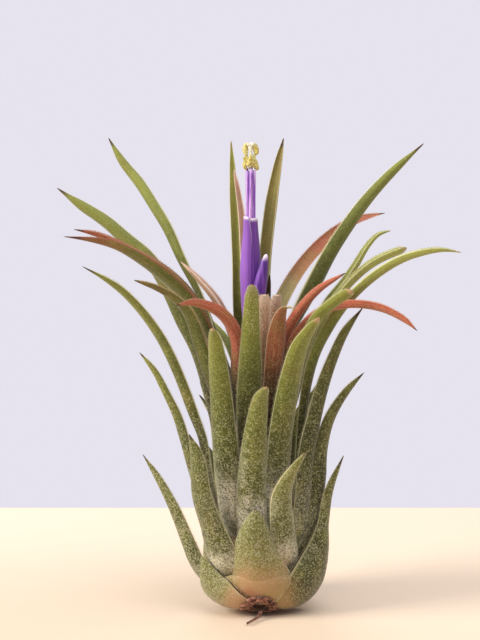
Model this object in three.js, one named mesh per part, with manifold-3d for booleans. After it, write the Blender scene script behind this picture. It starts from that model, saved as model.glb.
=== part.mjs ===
// Air plant: a bulb of clasping leaf bases, channelled leaves and one violet flower.
// Millimetres, +Z up, and the front with the short leaves faces -Y.
// The plant stands unheld on the flat foot of its stem at the origin.

import * as THREE from "three";
import Module from "manifold-3d";

const wasm = await Module();
wasm.setup();

// Clear space kept between neighbouring pieces.
const clearGap = 0.3;

// Leaf blades: outside points across, thickness at the foot and at the tip, arc half angles.
const pointsAcross = 5;
const footThickness = 1.0;
const tipThickness = 0.66;
const footCurl = 38;
const bladeCurl = 108;
const curlEndsAt = 0.45;
const ringsPerSpan = 2;
const mostRings = 11;

// Stem: height, radius and sideways shift of each ring from the foot to the heart.
const stemSides = 18;
const stemRings = [
  [0, 5.2, 0.8],
  [1.5, 6.6, 0.8],
  [5, 8.2, 0.8],
  [12, 8.6, 0.8],
  [20, 7.4, 0.7],
  [30, 5.4, 0.4],
  [38, 4.0, -0.2],
  [43, 2.8, -0.6],
  [46, 1.6, -0.9],
];

// Smooth skin round the root scar: a lens that leans with the bulb and bends round it.
const skin = {
  middle: [0.5, -10.75, 5.1],
  halfWide: 8,
  halfTall: 4.8,
  front: 2,
  back: 5.5,
  lean: 33,
  bend: 18,
  rise: 0.02,
  sides: 12,
  rings: 5,
};

// Flower: centre of the petal tube at each height, and its radius there.
const flowerSides = 10;
const petalTube = [
  [-1.1, -0.6, 46.6, 0.9],
  [-1.3, -0.8, 54, 1.3],
  [-1.5, -1.0, 61, 1.8],
  [-1.5, -1.0, 68, 2.1],
  [-1.5, -1.0, 73, 1.75],
  [-1.5, -1.0, 77, 1.35],
];

const wellRadius = 0.95;
const wellFloor = 66;
const filamentTop = 87.2;
const strandRadius = 0.34;
const rootRadius = 0.42;

const colours = {
  sheath: 0x8f8468,
  green: 0x6f7d4a,
  brownGreen: 0x77704a,
  red: 0xb85a45,
  pink: 0xc98a72,
  violet: 0x7d48a8,
  filament: 0x9a70c4,
  pollen: 0xe0d878,
  stigma: 0xf0eedc,
  stem: 0x93876a,
  wood: 0x5a3b28,
  driedBrown: 0x4a3026,
};

// Each leaf: side it faces, colour, midrib points from the foot to the tip, half width there.
const innerLeaves = [
  {
    name: "upright_leaf_pink",
    facing: 105,
    colour: "pink",
    path: [[-0.6, 1.6, 42], [-2, 3, 54], [-2.6, 3.4, 62], [-3.4, 4, 79], [-4.8, 4, 88]],
    wide: [1, 1, 0.8, 0.7, 0.35],
  },
  {
    name: "pink_leaf_left",
    facing: 275,
    curl: 70,
    colour: "pink",
    path: [[0.4, -1.4, 36], [0.8, -4.6, 45], [0.9, -6, 52], [0.9, -7.8, 59], [1.2, -10.2, 64.6]],
    wide: [1.4, 1.5, 1.4, 1.4, 1.2],
  },
  {
    name: "pink_leaf_right",
    facing: 300,
    curl: 70,
    colour: "pink",
    path: [[0.8, -0.8, 38], [2.6, -1.6, 48], [3.1, -2.8, 57], [3.7, -5.4, 63.9]],
    wide: [1.2, 1.3, 1.3, 1.2],
  },
  {
    name: "upright_leaf_left",
    facing: 100,
    colour: "green",
    path: [
      [-1.2, 1.4, 38],
      [-2.8, 3, 50],
      [-4, 4.2, 58],
      [-4.4, 5, 70],
      [-4.9, 5.6, 82],
      [-5.4, 6, 93.6],
    ],
    wide: [1.2, 1.2, 1, 0.9, 0.9, 0.35],
  },
  {
    name: "upright_leaf_right",
    facing: 75,
    colour: "green",
    path: [
      [0.4, 1.6, 38],
      [0.8, 3.6, 48],
      [1, 5, 57.5],
      [1.6, 6.2, 70],
      [2.8, 7.2, 80.6],
      [4, 7.8, 88],
      [5.2, 8, 94],
    ],
    wide: [1.5, 1.5, 1.4, 1.3, 1.3, 0.9, 0.3],
  },
  {
    name: "strap_right_short",
    facing: 310,
    curl: 82,
    roll: -35,
    colour: "red",
    path: [
      [1.2, -1.2, 34],
      [2.8, -3.8, 44],
      [4, -5, 50.5],
      [6.4, -7.2, 58],
      [11.2, -10.6, 65],
      [16.8, -13.6, 69.2],
    ],
    wide: [2.2, 2.1, 1.7, 1.25, 0.95, 0.35],
  },
  {
    name: "strap_left",
    facing: 235,
    curl: 82,
    roll: 40,
    colour: "red",
    path: [
      [-1.4, -1.6, 34],
      [-3, -4.6, 41],
      [-4.2, -6, 47],
      [-4.1, -6.9, 52],
      [-4.3, -7.8, 55.1],
      [-5.8, -9.2, 58.9],
      [-8.6, -11.2, 61.7],
      [-12.8, -13.6, 63.3],
      [-16, -15.6, 63.1],
    ],
    wide: [2.2, 2, 1.7, 1.55, 1.45, 1.45, 1.35, 1.1, 0.35],
  },
  {
    name: "leaf_left_thin",
    facing: 165,
    colour: "red",
    path: [
      [-1.4, 0.4, 34],
      [-3.4, 0.4, 46],
      [-4.5, 0.4, 53],
      [-8, 0.8, 61.3],
      [-11.6, 1.6, 65.8],
      [-15.5, 2, 69.6],
    ],
    wide: [1.3, 1.3, 1.3, 1.25, 0.95, 0.3],
  },
  {
    name: "leaf_right_pink",
    facing: 90,
    curl: 64,
    colour: "pink",
    path: [
      [0.8, 1.8, 34],
      [1.6, 3.4, 46],
      [2.4, 4.4, 53],
      [3.8, 5.6, 59],
      [6.4, 7.4, 64.2],
      [9.8, 9.6, 68.9],
      [14.2, 12, 73.1],
      [18.6, 14, 75.9],
      [22.4, 15.6, 77.2],
      [26.4, 17, 78],
    ],
    wide: [1.4, 1.5, 1.6, 1.6, 1.5, 1.4, 1.35, 1.2, 0.9, 0.3],
  },
  {
    name: "strap_right",
    facing: 330,
    curl: 82,
    roll: -45,
    colour: "red",
    path: [
      [1.8, -1.2, 30],
      [4, -4, 42],
      [5.6, -5.6, 50],
      [8.6, -7.2, 56.5],
      [12.6, -8.8, 60.9],
      [17.4, -10.2, 62.5],
      [23.5, -11.8, 62.1],
      [28, -13, 60.1],
      [30.8, -14, 57.9],
    ],
    wide: [2.5, 2.5, 2.2, 2, 1.5, 1.4, 1.4, 1.1, 0.3],
  },
  {
    name: "broad_leaf_right",
    facing: 300,
    curl: 70,
    colour: "brownGreen",
    path: [
      [1.2, -2, 32],
      [2.8, -5.8, 42],
      [3.4, -7.8, 50],
      [3.9, -9, 56.2],
      [4.4, -10.2, 60.2],
      [5.3, -11.4, 62.1],
      [6.7, -12, 62.1],
    ],
    wide: [2, 2.3, 2.4, 2.3, 1.5, 0.7, 0.3],
  },
  {
    name: "leaf_right_high",
    facing: 24,
    roll: -90,
    colour: "green",
    path: [
      [1.6, 1.2, 30],
      [3.6, 2.4, 44],
      [5, 3.6, 52.4],
      [7.6, 4.6, 57.8],
      [11.2, 6, 64.2],
      [14.9, 8, 70.8],
      [18.9, 10, 76.6],
      [22.8, 11.8, 81.6],
      [27.9, 13.2, 87],
      [34, 14, 92.6],
    ],
    wide: [1.9, 2.1, 2.5, 2.6, 2.3, 1.9, 1.6, 1.3, 0.95, 0.3],
  },
  {
    name: "leaf_left_reddish_back",
    facing: 175,
    colour: "red",
    path: [
      [-1.8, 0.2, 30],
      [-5, 0.4, 44],
      [-8, 0.6, 51.6],
      [-10.6, 1, 58.2],
      [-13.6, 1.4, 63.4],
      [-18.6, 1.4, 68.2],
      [-23.6, 1, 71.2],
      [-28.6, 0.4, 73.8],
      [-32.4, -0.2, 75.4],
      [-36.6, -1, 76.4],
    ],
    wide: [1.4, 1.4, 1.3, 1.2, 1.1, 1.1, 1, 1, 0.8, 0.3],
  },
  {
    name: "leaf_right_thin",
    facing: 20,
    colour: "green",
    path: [
      [2, 1, 26],
      [5, 2, 40],
      [8, 2.8, 49.5],
      [11.2, 3.6, 56],
      [14.4, 4.6, 61.2],
      [17.5, 5.4, 65],
      [20, 6.4, 68.6],
      [22.1, 7.2, 72],
      [24.4, 8, 74.4],
      [27, 8.6, 75.2],
    ],
    wide: [1.6, 1.5, 1.4, 1.3, 1.2, 1.1, 1, 0.8, 0.6, 0.35],
  },
  {
    name: "leaf_left_high",
    facing: 155,
    curl: 96,
    roll: 90,
    colour: "green",
    path: [
      [-1.6, 1.4, 30],
      [-5.2, 2.8, 44],
      [-9, 4.2, 55.4],
      [-11.6, 6, 62],
      [-15.6, 8.4, 69.4],
      [-18.4, 10.4, 75.2],
      [-21.2, 12.2, 79.6],
      [-24.4, 14, 84.4],
      [-27.8, 15.2, 88.6],
      [-30.6, 16, 93.6],
    ],
    wide: [2, 1.9, 1.7, 1.6, 1.55, 1.5, 1.4, 1.25, 0.95, 0.3],
  },
  {
    name: "leaf_left_reddish",
    facing: 190,
    curl: 76,
    roll: 35,
    colour: "red",
    path: [
      [-1.8, -0.8, 28],
      [-4.8, -1.4, 40],
      [-7.8, -2, 47.8],
      [-10.3, -2.6, 56],
      [-13.6, -3.2, 62],
      [-16.3, -3.8, 65],
      [-19.5, -4.6, 68],
      [-22.9, -5.3, 70.6],
      [-27.2, -6, 73.2],
      [-31.4, -6.8, 74.6],
      [-38.2, -8, 75.7],
    ],
    wide: [2.2, 2.3, 2.4, 2.5, 2.6, 2.6, 2.4, 2, 1.5, 1.1, 0.3],
  },
  {
    name: "leaf_right_blunt",
    facing: 5,
    colour: "green",
    path: [
      [2.4, 0.2, 24],
      [6, 0.2, 36],
      [9, 0.2, 47.5],
      [12, 0.4, 55.6],
      [15.6, 1.2, 62],
      [19.6, 2, 66.6],
      [24, 3, 69.8],
      [30, 4, 72.2],
    ],
    wide: [1.9, 1.7, 1.5, 1.4, 1.35, 1.3, 1.3, 1.2],
  },
];

const middleLeaves = [
  {
    name: "front_leaf_middle_tall",
    facing: 270,
    curl: 70,
    colour: "green",
    path: [
      [-0.4, -2.6, 24],
      [-1.6, -7.4, 33],
      [-1.9, -8.8, 43],
      [-1.6, -9.6, 50],
      [-1.5, -11, 57],
      [-1.3, -14, 64.5],
      [-1.3, -18, 67.5],
    ],
    wide: [2.4, 2.6, 2.5, 2.4, 1.9, 1.4, 0.5],
  },
  {
    name: "leaf_right_inner",
    facing: 305,
    curl: 70,
    roll: -35,
    colour: "green",
    path: [
      [1.8, -2.2, 24],
      [5, -6, 36],
      [7.4, -8, 47.2],
      [9.2, -9.6, 54.2],
      [11.4, -11.2, 59.8],
      [14.4, -13, 63],
      [18.2, -15, 66],
    ],
    wide: [1.8, 1.7, 1.5, 1.4, 1.4, 1.35, 1.2],
  },
  {
    name: "leaf_left_upper",
    facing: 172,
    roll: 70,
    colour: "green",
    path: [
      [-2.4, 0.4, 18],
      [-6.8, 0.9, 28],
      [-9.2, 1.4, 38],
      [-10.7, 2, 45],
      [-12.6, 3, 51.6],
      [-15.5, 4.4, 57.4],
      [-18.5, 6, 63.8],
      [-22.1, 7.4, 69.4],
      [-27.1, 9, 73.4],
      [-31.1, 10.2, 76.8],
      [-36.1, 11.4, 80],
      [-41, 12.4, 83.6],
    ],
    wide: [2, 2, 2, 2, 2, 1.9, 1.8, 1.7, 1.6, 1.4, 1.1, 0.3],
  },
  {
    name: "leaf_left_brown_tip",
    facing: 205,
    colour: "brownGreen",
    path: [
      [-2, -1.4, 24],
      [-5.6, -3.8, 35],
      [-8.6, -5, 44],
      [-11.6, -6.6, 54],
      [-13.6, -7.6, 60],
      [-16.1, -9, 63.4],
      [-20, -10.6, 66],
      [-24.2, -12, 67.6],
    ],
    wide: [2.4, 2.4, 2.2, 1.9, 1.6, 1.25, 0.95, 0.5],
  },
  {
    name: "leaf_right_long",
    facing: 338,
    colour: "green",
    path: [
      [2.8, -1.2, 12],
      [7.8, -3.2, 21],
      [8.6, -3.8, 31],
      [9, -4, 38.6],
      [9.8, -4.4, 45.6],
      [11.4, -5, 52.2],
      [14.2, -6, 58],
      [17, -7.2, 62.3],
      [20, -8.4, 65.7],
      [23.4, -9.8, 68.8],
      [27.6, -11.4, 71.6],
      [31.6, -12.8, 73.1],
      [35.4, -13.6, 73.7],
      [39.2, -14, 73.2],
    ],
    wide: [2.6, 2.4, 2.1, 1.9, 1.7, 1.7, 1.6, 1.5, 1.4, 1.4, 1.3, 1.1, 0.7, 0.3],
  },
  {
    name: "leaf_left_long",
    facing: 196,
    colour: "green",
    path: [
      [-2.6, -1.6, 12],
      [-8, -3.4, 20],
      [-10.4, -4, 29.4],
      [-11.1, -4.4, 34.7],
      [-12.9, -5, 39.9],
      [-14.9, -5.8, 45.7],
      [-17.1, -6.8, 51.3],
      [-19.7, -8, 56.5],
      [-23.5, -10, 62.1],
      [-27.9, -12, 66.7],
      [-34.2, -14, 70.6],
    ],
    wide: [2.8, 2.6, 2, 1.7, 1.6, 1.5, 1.5, 1.45, 1.3, 1.1, 0.3],
  },
  {
    name: "front_leaf_right_tall",
    facing: 290,
    curl: 70,
    colour: "green",
    path: [
      [2, -3.4, 12],
      [3.6, -8.6, 19],
      [4, -9.8, 28],
      [4.6, -11, 36.5],
      [5.6, -12, 43.5],
      [6.6, -13, 49],
      [8.2, -15.4, 55.2],
      [11.6, -20, 61.5],
    ],
    wide: [3, 3.2, 2.7, 2.6, 2.5, 2.3, 2, 0.9],
  },
  {
    name: "front_leaf_left_tall",
    facing: 250,
    curl: 70,
    colour: "green",
    path: [
      [-0.8, -3, 12],
      [-4.4, -8.4, 18],
      [-5.8, -9.4, 26],
      [-6.8, -10.2, 35],
      [-7.4, -11.4, 43],
      [-8, -13.2, 50.5],
      [-8.5, -15.4, 56],
      [-8.9, -17.6, 59],
    ],
    wide: [3, 3.4, 3.1, 2.8, 2.5, 2.1, 1.5, 0.5],
  },
  {
    name: "leaf_right_middle",
    facing: 324,
    colour: "green",
    path: [
      [3, -2.6, 8],
      [8, -7, 15],
      [9.2, -7.8, 23],
      [9.8, -7.4, 32],
      [11.2, -7, 39],
      [13, -7, 46.2],
      [15.1, -7.4, 52.2],
      [17.2, -8, 57],
      [20.6, -9, 62],
    ],
    wide: [2.8, 3, 2.5, 2.1, 1.8, 1.6, 1.3, 1.1, 0.3],
  },
];

const outerLeaves = [
  {
    name: "front_leaf_middle",
    facing: 268,
    curl: 70,
    colour: "green",
    path: [
      [0.4, -4, 9],
      [-0.8, -10, 15],
      [-1.4, -11.6, 23.5],
      [-1, -12.8, 33],
      [-0.2, -14.6, 41],
      [0.4, -16.8, 45],
      [1.5, -20, 48],
    ],
    wide: [3, 3.4, 3.2, 2.7, 2, 1.5, 0.5],
  },
  {
    name: "leaf_left_inner_low",
    facing: 200,
    colour: "green",
    path: [
      [-3, -1.8, 8],
      [-10, -4.6, 18],
      [-12.6, -5, 27],
      [-14.8, -4.8, 35],
      [-16.2, -4.6, 39.5],
      [-18.3, -4.4, 44],
      [-20.7, -4.2, 48.6],
      [-23.6, -4, 52.2],
    ],
    wide: [3.2, 2.8, 2.1, 1.4, 1.3, 1.1, 0.9, 0.3],
  },
  {
    name: "leaf_right_low_slim",
    facing: 332,
    colour: "green",
    path: [
      [3.4, -1.4, 5],
      [9.6, -4.8, 12],
      [11.4, -5.6, 20],
      [12.2, -5.8, 27],
      [12.7, -6, 33],
      [14.2, -6, 39],
      [17.4, -6, 44.5],
      [21, -6, 48.5],
    ],
    wide: [3.2, 3.5, 2.8, 2.1, 1.7, 1.5, 1.1, 0.35],
  },
  {
    name: "front_leaf_left_short",
    facing: 236,
    curl: 70,
    colour: "green",
    path: [
      [-1.6, -3.4, 4],
      [-6.4, -9, 8.5],
      [-8, -10.6, 13.5],
      [-9.4, -11.2, 18],
      [-11.4, -12.2, 24.5],
      [-12.2, -13.8, 33],
      [-13.5, -16, 38],
    ],
    wide: [3.4, 4, 4, 3.1, 2.6, 1.8, 0.4],
  },
  {
    name: "front_leaf_right_short",
    facing: 295,
    curl: 70,
    colour: "green",
    path: [
      [2.4, -3.6, 5],
      [5, -9.9, 11],
      [5, -11.7, 18],
      [4.8, -12.8, 24.5],
      [6, -14.8, 28.8],
      [9.5, -19, 35.5],
    ],
    wide: [3, 3.8, 2.8, 2.4, 1.7, 0.4],
  },
  {
    name: "leaf_left_low",
    facing: 208,
    curl: 80,
    colour: "green",
    path: [
      [-2.8, -1.6, 3],
      [-8.8, -4.8, 4.8],
      [-11.2, -5.9, 7.6],
      [-12.8, -6, 10.5],
      [-14.6, -5.8, 15],
      [-17, -5.6, 21],
      [-20, -5.6, 27],
      [-23, -6, 32],
    ],
    wide: [3, 3.4, 3.2, 2.8, 2.4, 2, 1.4, 0.35],
  },
  {
    name: "sheath_right",
    facing: 308,
    curl: 60,
    colour: "sheath",
    path: [
      [2, -2.6, 1.8],
      [6.6, -8.4, 2.1],
      [10, -9.2, 6.5],
      [12.2, -8.2, 12.5],
      [13.2, -7.4, 18],
      [14.2, -7, 24.5],
      [17, -7, 32],
    ],
    wide: [3.5, 5, 5.2, 3.3, 1.5, 1.3, 0.35],
  },
  {
    name: "sheath_front",
    facing: 268,
    curl: 70,
    colour: "sheath",
    path: [
      [0.8, -4, 1.4],
      [1, -9.2, 2.6],
      [0.6, -11.2, 6.5],
      [-0.3, -12.6, 11],
      [-0.8, -13.2, 15.5],
      [-0.7, -13.7, 19],
      [-0.4, -14.2, 22.4],
    ],
    wide: [5.5, 6.6, 6.6, 5.4, 4, 2.7, 0.9],
  },
  {
    name: "sheath_left",
    facing: 228,
    curl: 60,
    colour: "sheath",
    path: [[-0.4, -3.4, 2.2], [-5.2, -8.9, 2.6], [-9, -9.4, 5.6], [-11.4, -8.6, 12]],
    wide: [4, 5.6, 4.6, 0.5],
  },
];

// Leaves on the far side: side, turn of the tip, foot height, lift off the stem, reach, top, half width.
const farLeaves = [
  [66, -6, 28, 0.4, 24, 61, 1.6],
  [94, 8, 29, 0.6, 25, 60, 1.7],
  [122, 6, 28, 0.4, 24, 59, 1.6],
  [78, -8, 20, 0.8, 34, 52, 2.1],
  [108, 10, 20, 0.8, 33, 50, 2.1],
  [56, -5, 12, 0.9, 24, 44, 2.4],
  [93, 6, 11, 1.1, 31, 40, 2.6],
  [133, 5, 12, 0.9, 17, 41, 2.4],
  [14, 4, 13, 0.9, 13, 46, 2.8],
  [166, -4, 13, 0.9, 13, 45, 2.8],
  [8, 6, 5, 0.9, 12.5, 24, 4.2],
  [40, 6, 3, 2.1, 20, 33, 4.4],
  [74, -6, 3, 0.9, 27, 30, 4.6],
  [106, 6, 3, 2.1, 25, 33, 4.6],
  [138, -6, 3, 0.9, 16, 30, 4.4],
  [170, 0, 4, 1.0, 10.6, 21, 4.2],
];

// Skin through rings of points; the second half of each ring lies opposite the first half.
function closedSurface(rings) {
  const count = rings[0].length;
  const half = count / 2;
  const positions = [];
  const faces = [];
  for (const ring of rings) {
    for (const p of ring) {
      positions.push(p.x, p.y, p.z);
    }
  }
  for (let i = 0; i < rings.length - 1; i++) {
    for (let j = 0; j < count; j++) {
      const next = (j + 1) % count;
      const a = i * count + j;
      const b = i * count + next;
      const c = a + count;
      const d = b + count;
      if (j < half) {
        faces.push(a, b, d, a, d, c);
      } else {
        faces.push(a, b, c, b, d, c);
      }
    }
  }
  const last = (rings.length - 1) * count;
  for (let k = 0; k < half - 1; k++) {
    const e = count - 1 - k;
    faces.push(k, e, e - 1, k, e - 1, k + 1);
    faces.push(last + k, last + e - 1, last + e, last + k, last + k + 1, last + e - 1);
  }
  return asSolid(positions, faces);
}

function signedVolume(positions, faces) {
  const corner = (n) => new THREE.Vector3().fromArray(positions, n * 3);
  let volume = 0;
  for (let i = 0; i < faces.length; i += 3) {
    volume += corner(faces[i]).dot(corner(faces[i + 1]).cross(corner(faces[i + 2])));
  }
  return volume / 6;
}

function asSolid(positions, faces) {
  if (signedVolume(positions, faces) < 0) {
    faces.reverse();
  }
  const mesh = new wasm.Mesh({
    numProp: 3,
    vertProperties: new Float32Array(positions),
    triVerts: new Uint32Array(faces),
  });
  return new wasm.Manifold(mesh);
}

// Value at share u of a list of evenly spaced values.
function between(values, u) {
  const at = Math.min(values.length - 1, Math.max(0, u * (values.length - 1)));
  const low = Math.min(values.length - 2, Math.floor(at));
  return THREE.MathUtils.lerp(values[low], values[low + 1], at - low);
}

// Channelled section of a leaf, round on the outside and hollow towards the flower.
function crescent(centre, side, inward, halfWide, curl, thickness, grow, across) {
  const angle = THREE.MathUtils.degToRad(curl);
  const outer = Math.max(halfWide / Math.sin(Math.min(angle, Math.PI / 2)), tipThickness * 0.8);
  const halfDeep = (outer * (1 - Math.cos(angle))) / 2;
  const inner = Math.max(outer - thickness - grow, outer * 0.12);
  const reach = angle + grow / outer;
  const points = [];
  for (let k = 0; k < across; k++) {
    const turn = -reach + (2 * reach * k) / (across - 1);
    points.push([turn, outer + grow]);
  }
  for (let k = across - 1; k >= 0; k--) {
    const turn = -reach + (2 * reach * k) / (across - 1);
    points.push([turn, inner]);
  }
  return points.map(([turn, radius]) => {
    const p = centre.clone();
    p.addScaledVector(side, radius * Math.sin(turn));
    p.addScaledVector(inward, outer - radius * Math.cos(turn) - halfDeep);
    return p;
  });
}

function leafSolid(leaf, grow) {
  const corners = leaf.path.map((p) => new THREE.Vector3(...p));
  const curve = new THREE.CatmullRomCurve3(corners, false, "centripetal");
  const facing = THREE.MathUtils.degToRad(leaf.facing);
  const around = new THREE.Vector3(-Math.sin(facing), Math.cos(facing), 0);
  const count = Math.min(mostRings, (corners.length - 1) * ringsPerSpan);
  const rings = [];
  for (let i = 0; i <= count; i++) {
    const u = i / count;
    const along = curve.getTangent(u).normalize();
    const side = around.clone().addScaledVector(along, -around.dot(along)).normalize();
    const roll = THREE.MathUtils.degToRad((leaf.roll ?? 0) * u);
    side.applyAxisAngle(along, roll);
    const inward = along.clone().cross(side);
    const centre = curve.getPoint(u);
    if (i === 0) {
      centre.addScaledVector(along, -grow);
    }
    if (i === count) {
      centre.addScaledVector(along, grow);
    }
    const curl = THREE.MathUtils.lerp(footCurl, leaf.curl ?? bladeCurl, Math.min(1, u / curlEndsAt));
    const thickness = THREE.MathUtils.lerp(footThickness, tipThickness, u);
    const halfWide = between(leaf.wide, u);
    const across = leaf.across ?? pointsAcross;
    rings.push(crescent(centre, side, inward, halfWide, curl, thickness, grow, across));
  }
  return closedSurface(rings);
}

// A leaf that clasps the stem up to a third of its rise and then arches outwards.
function farLeaf([facing, turn, foot, lift, reach, top, wide], index) {
  const rise = top - foot;
  const wraps = foot + 0.3 * rise;
  const clasp = stemRadiusAt(wraps) + lift + 0.6;
  const outline = [
    [2.5, foot, 0],
    [stemRadiusAt(foot + 1.5) + lift, foot + 1.5, 0],
    [clasp, wraps, 0.1],
    [clasp + 0.12 * (reach - clasp), foot + 0.55 * rise, 0.3],
    [clasp + 0.4 * (reach - clasp), foot + 0.8 * rise, 0.6],
    [reach, top, 1],
  ];
  return {
    name: `far_leaf_${index + 1}`,
    facing,
    curl: 84,
    across: 4,
    colour: foot > 6 ? "green" : "sheath",
    path: outline.map(([r, z, share]) => {
      const angle = THREE.MathUtils.degToRad(facing + turn * share);
      return [0.6 + r * Math.cos(angle), r * Math.sin(angle), z];
    }),
    wide: [wide * 0.8, wide, wide, wide * 0.85, wide * 0.62, 0.35],
  };
}

function stemRadiusAt(height) {
  for (let i = 0; i < stemRings.length - 1; i++) {
    const [low, lowRadius] = stemRings[i];
    const [high, highRadius] = stemRings[i + 1];
    if (height <= high) {
      return THREE.MathUtils.mapLinear(height, low, high, lowRadius, highRadius);
    }
  }
  return stemRings[stemRings.length - 1][1];
}

function flatRing(x, y, z, radius, sides) {
  const ring = [];
  for (let k = 0; k < sides; k++) {
    const turn = (2 * Math.PI * k) / sides;
    ring.push(new THREE.Vector3(x + radius * Math.cos(turn), y + radius * Math.sin(turn), z));
  }
  return ring;
}

function skinSolid(grow) {
  const [x, y, z] = skin.middle;
  const lean = THREE.MathUtils.degToRad(skin.lean);
  const rings = [];
  for (let i = 0; i <= skin.rings; i++) {
    const level = Math.PI * ((i + 0.25) / (skin.rings + 0.5) - 0.5);
    const along = (skin.halfTall + grow) * Math.sin(level);
    const ring = [];
    for (let k = 0; k < skin.sides; k++) {
      const turn = (2 * Math.PI * k) / skin.sides;
      const across = (skin.halfWide + grow) * Math.cos(level) * Math.cos(turn);
      const thick = turn < Math.PI ? skin.front : skin.back;
      const out = (thick + grow) * Math.cos(level) * Math.sin(turn);
      const back = (across * across) / (2 * skin.bend);
      ring.push(
        new THREE.Vector3(
          x + across,
          y - along * Math.sin(lean) - out * Math.cos(lean) + back,
          z + along * Math.cos(lean) - out * Math.sin(lean) + skin.rise * across * across,
        ),
      );
    }
    rings.push(ring);
  }
  return closedSurface(rings);
}

function stemSolid(grow) {
  const rings = stemRings.map(([z, radius, x], index) => {
    const lift = index === 0 ? -grow : index === stemRings.length - 1 ? grow : 0;
    return flatRing(x, 0, z + lift, radius + grow, stemSides);
  });
  return closedSurface(rings).add(skinSolid(grow));
}

// Round strand along a smooth line, a little thinner at its end.
function wire(points, radius, sides) {
  const curve = new THREE.CatmullRomCurve3(points.map((p) => new THREE.Vector3(...p)));
  const count = (points.length - 1) * 2;
  const frames = curve.computeFrenetFrames(count, false);
  const rings = [];
  for (let i = 0; i <= count; i++) {
    const centre = curve.getPointAt(i / count);
    const size = radius * (i === count ? 0.6 : 1);
    const ring = [];
    for (let k = 0; k < sides; k++) {
      const turn = (2 * Math.PI * k) / sides;
      const p = centre.clone();
      p.addScaledVector(frames.normals[i], size * Math.cos(turn));
      p.addScaledVector(frames.binormals[i], size * Math.sin(turn));
      ring.push(p);
    }
    rings.push(ring);
  }
  return closedSurface(rings);
}

// A ring of curled root stubs round the scar, and one strand that reaches the surface.
function rootsSolid() {
  const upperRing = [
    [-2.6, -10.8, 1.8],
    [-2.4, -11.8, 2.8],
    [-1.2, -12.7, 3.9],
    [0.6, -13.1, 4.2],
    [2.2, -12.9, 4.1],
    [3.4, -11.9, 3.2],
  ];
  const lowerRing = [
    [3.4, -11.9, 3.2],
    [3.3, -10.9, 2.1],
    [1.6, -10.4, 1.4],
    [-1, -10.35, 1.35],
    [-2.6, -10.8, 1.8],
  ];
  const strand = [[0.3, -11.2, 2.2], [0.5, -12.4, 1.5], [0, -13.5, 0.8], [-2.2, -17.6, 0.75]];
  const stubs = [
    [[-2.4, -11.8, 2.8], [-3.4, -12.6, 2]],
    [[-1.2, -12.7, 3.9], [-2, -13.4, 4.8]],
    [[2.2, -12.9, 4.1], [2.8, -13.1, 3.4]],
    [[3.4, -11.9, 3.2], [4.4, -12.2, 2.6]],
  ];
  let tuft = ball(0.3, -10.7, 2.4, 1.8, 1.4);
  for (const line of [upperRing, lowerRing, strand]) {
    tuft = tuft.add(wire(line, rootRadius, 5));
  }
  for (const stub of stubs) {
    tuft = tuft.add(wire(stub, rootRadius, 4));
  }
  return tuft;
}

function petalsSolid() {
  let tube = closedSurface(petalTube.map(([x, y, z, r]) => flatRing(x, y, z, r, flowerSides)));
  const [x, y] = petalTube[3];
  const tips = [
    [200, 1, 79.4, 0.75],
    [325, 0.7, 79.2, 0.2],
    [80, 0.7, 79.3, 0.2],
  ];
  for (const [facing, start, top, lean] of tips) {
    const angle = THREE.MathUtils.degToRad(facing);
    const at = (r, z) => [x + r * Math.cos(angle), y + r * Math.sin(angle), z];
    const tip = {
      facing,
      path: [at(start * 0.9, 70), at(start * 0.95, 74), at(start, 77.4), at(start + lean, top)],
      wide: [1.1, 1.1, 0.9, 0.4],
    };
    tube = tube.add(leafSolid(tip, 0));
  }
  const well = closedSurface([
    flatRing(x, y, wellFloor, wellRadius, 10),
    flatRing(x, y, filamentTop, wellRadius, 10),
  ]);
  return tube.subtract(well);
}

function filamentsSolid() {
  const [x, y] = petalTube[3];
  let bundle = closedSurface([
    flatRing(x, y, wellFloor + clearGap, wellRadius - clearGap, 8),
    flatRing(x, y, filamentTop, wellRadius - clearGap, 8),
  ]);
  const strands = [
    [0, 0.25, 88],
    [72, 0.2, 87],
    [144, 0.3, 88.2],
    [216, 0.28, 87.4],
    [288, 0.2, 88.3],
  ];
  for (const [facing, lean, top] of strands) {
    const angle = THREE.MathUtils.degToRad(facing);
    const at = (r, z) => [x + r * Math.cos(angle), y + r * Math.sin(angle), z];
    bundle = bundle.add(wire([at(0.3, 76), at(0.45, 81), at(0.62 + lean, top)], strandRadius, 5));
  }
  return bundle;
}

function ball(x, y, z, wide, tall) {
  const rings = [];
  for (let i = 0; i <= 4; i++) {
    const turn = -Math.PI / 2 + (Math.PI * (i + 0.25)) / 4.5;
    rings.push(flatRing(x, y, z + tall * Math.sin(turn), Math.max(0.12, wide * Math.cos(turn)), 6));
  }
  return closedSurface(rings);
}

function anthersSolid() {
  const [x, y] = petalTube[3];
  const grains = [
    [0.8, -0.4, 89.4, 0.75, 1.2],
    [-0.8, -0.3, 89.5, 0.75, 1.2],
    [0, 0.7, 89.7, 0.7, 1.1],
    [0.1, -0.8, 90.3, 0.7, 1],
    [-1.1, 0.1, 92.5, 0.5, 0.8],
    [1, 0.1, 92.6, 0.5, 0.8],
  ];
  let clump = ball(x, y, 89.9, 0.75, 1.5);
  for (const [dx, dy, z, wide, tall] of grains) {
    clump = clump.add(ball(x + dx, y + dy, z, wide, tall));
  }
  for (const side of [-1, 1]) {
    clump = clump.add(wire([[x + 0.7 * side, y, 90.3], [x + side, y, 92.3]], strandRadius, 6));
  }
  return clump;
}

function stigmaSolid() {
  const [x, y] = petalTube[3];
  const stalk = wire([[x, y - 0.1, 91.8], [x, y - 0.1, 93]], strandRadius, 6);
  return stalk.add(ball(x, y - 0.1, 93.2, 0.45, 0.6));
}

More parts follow.
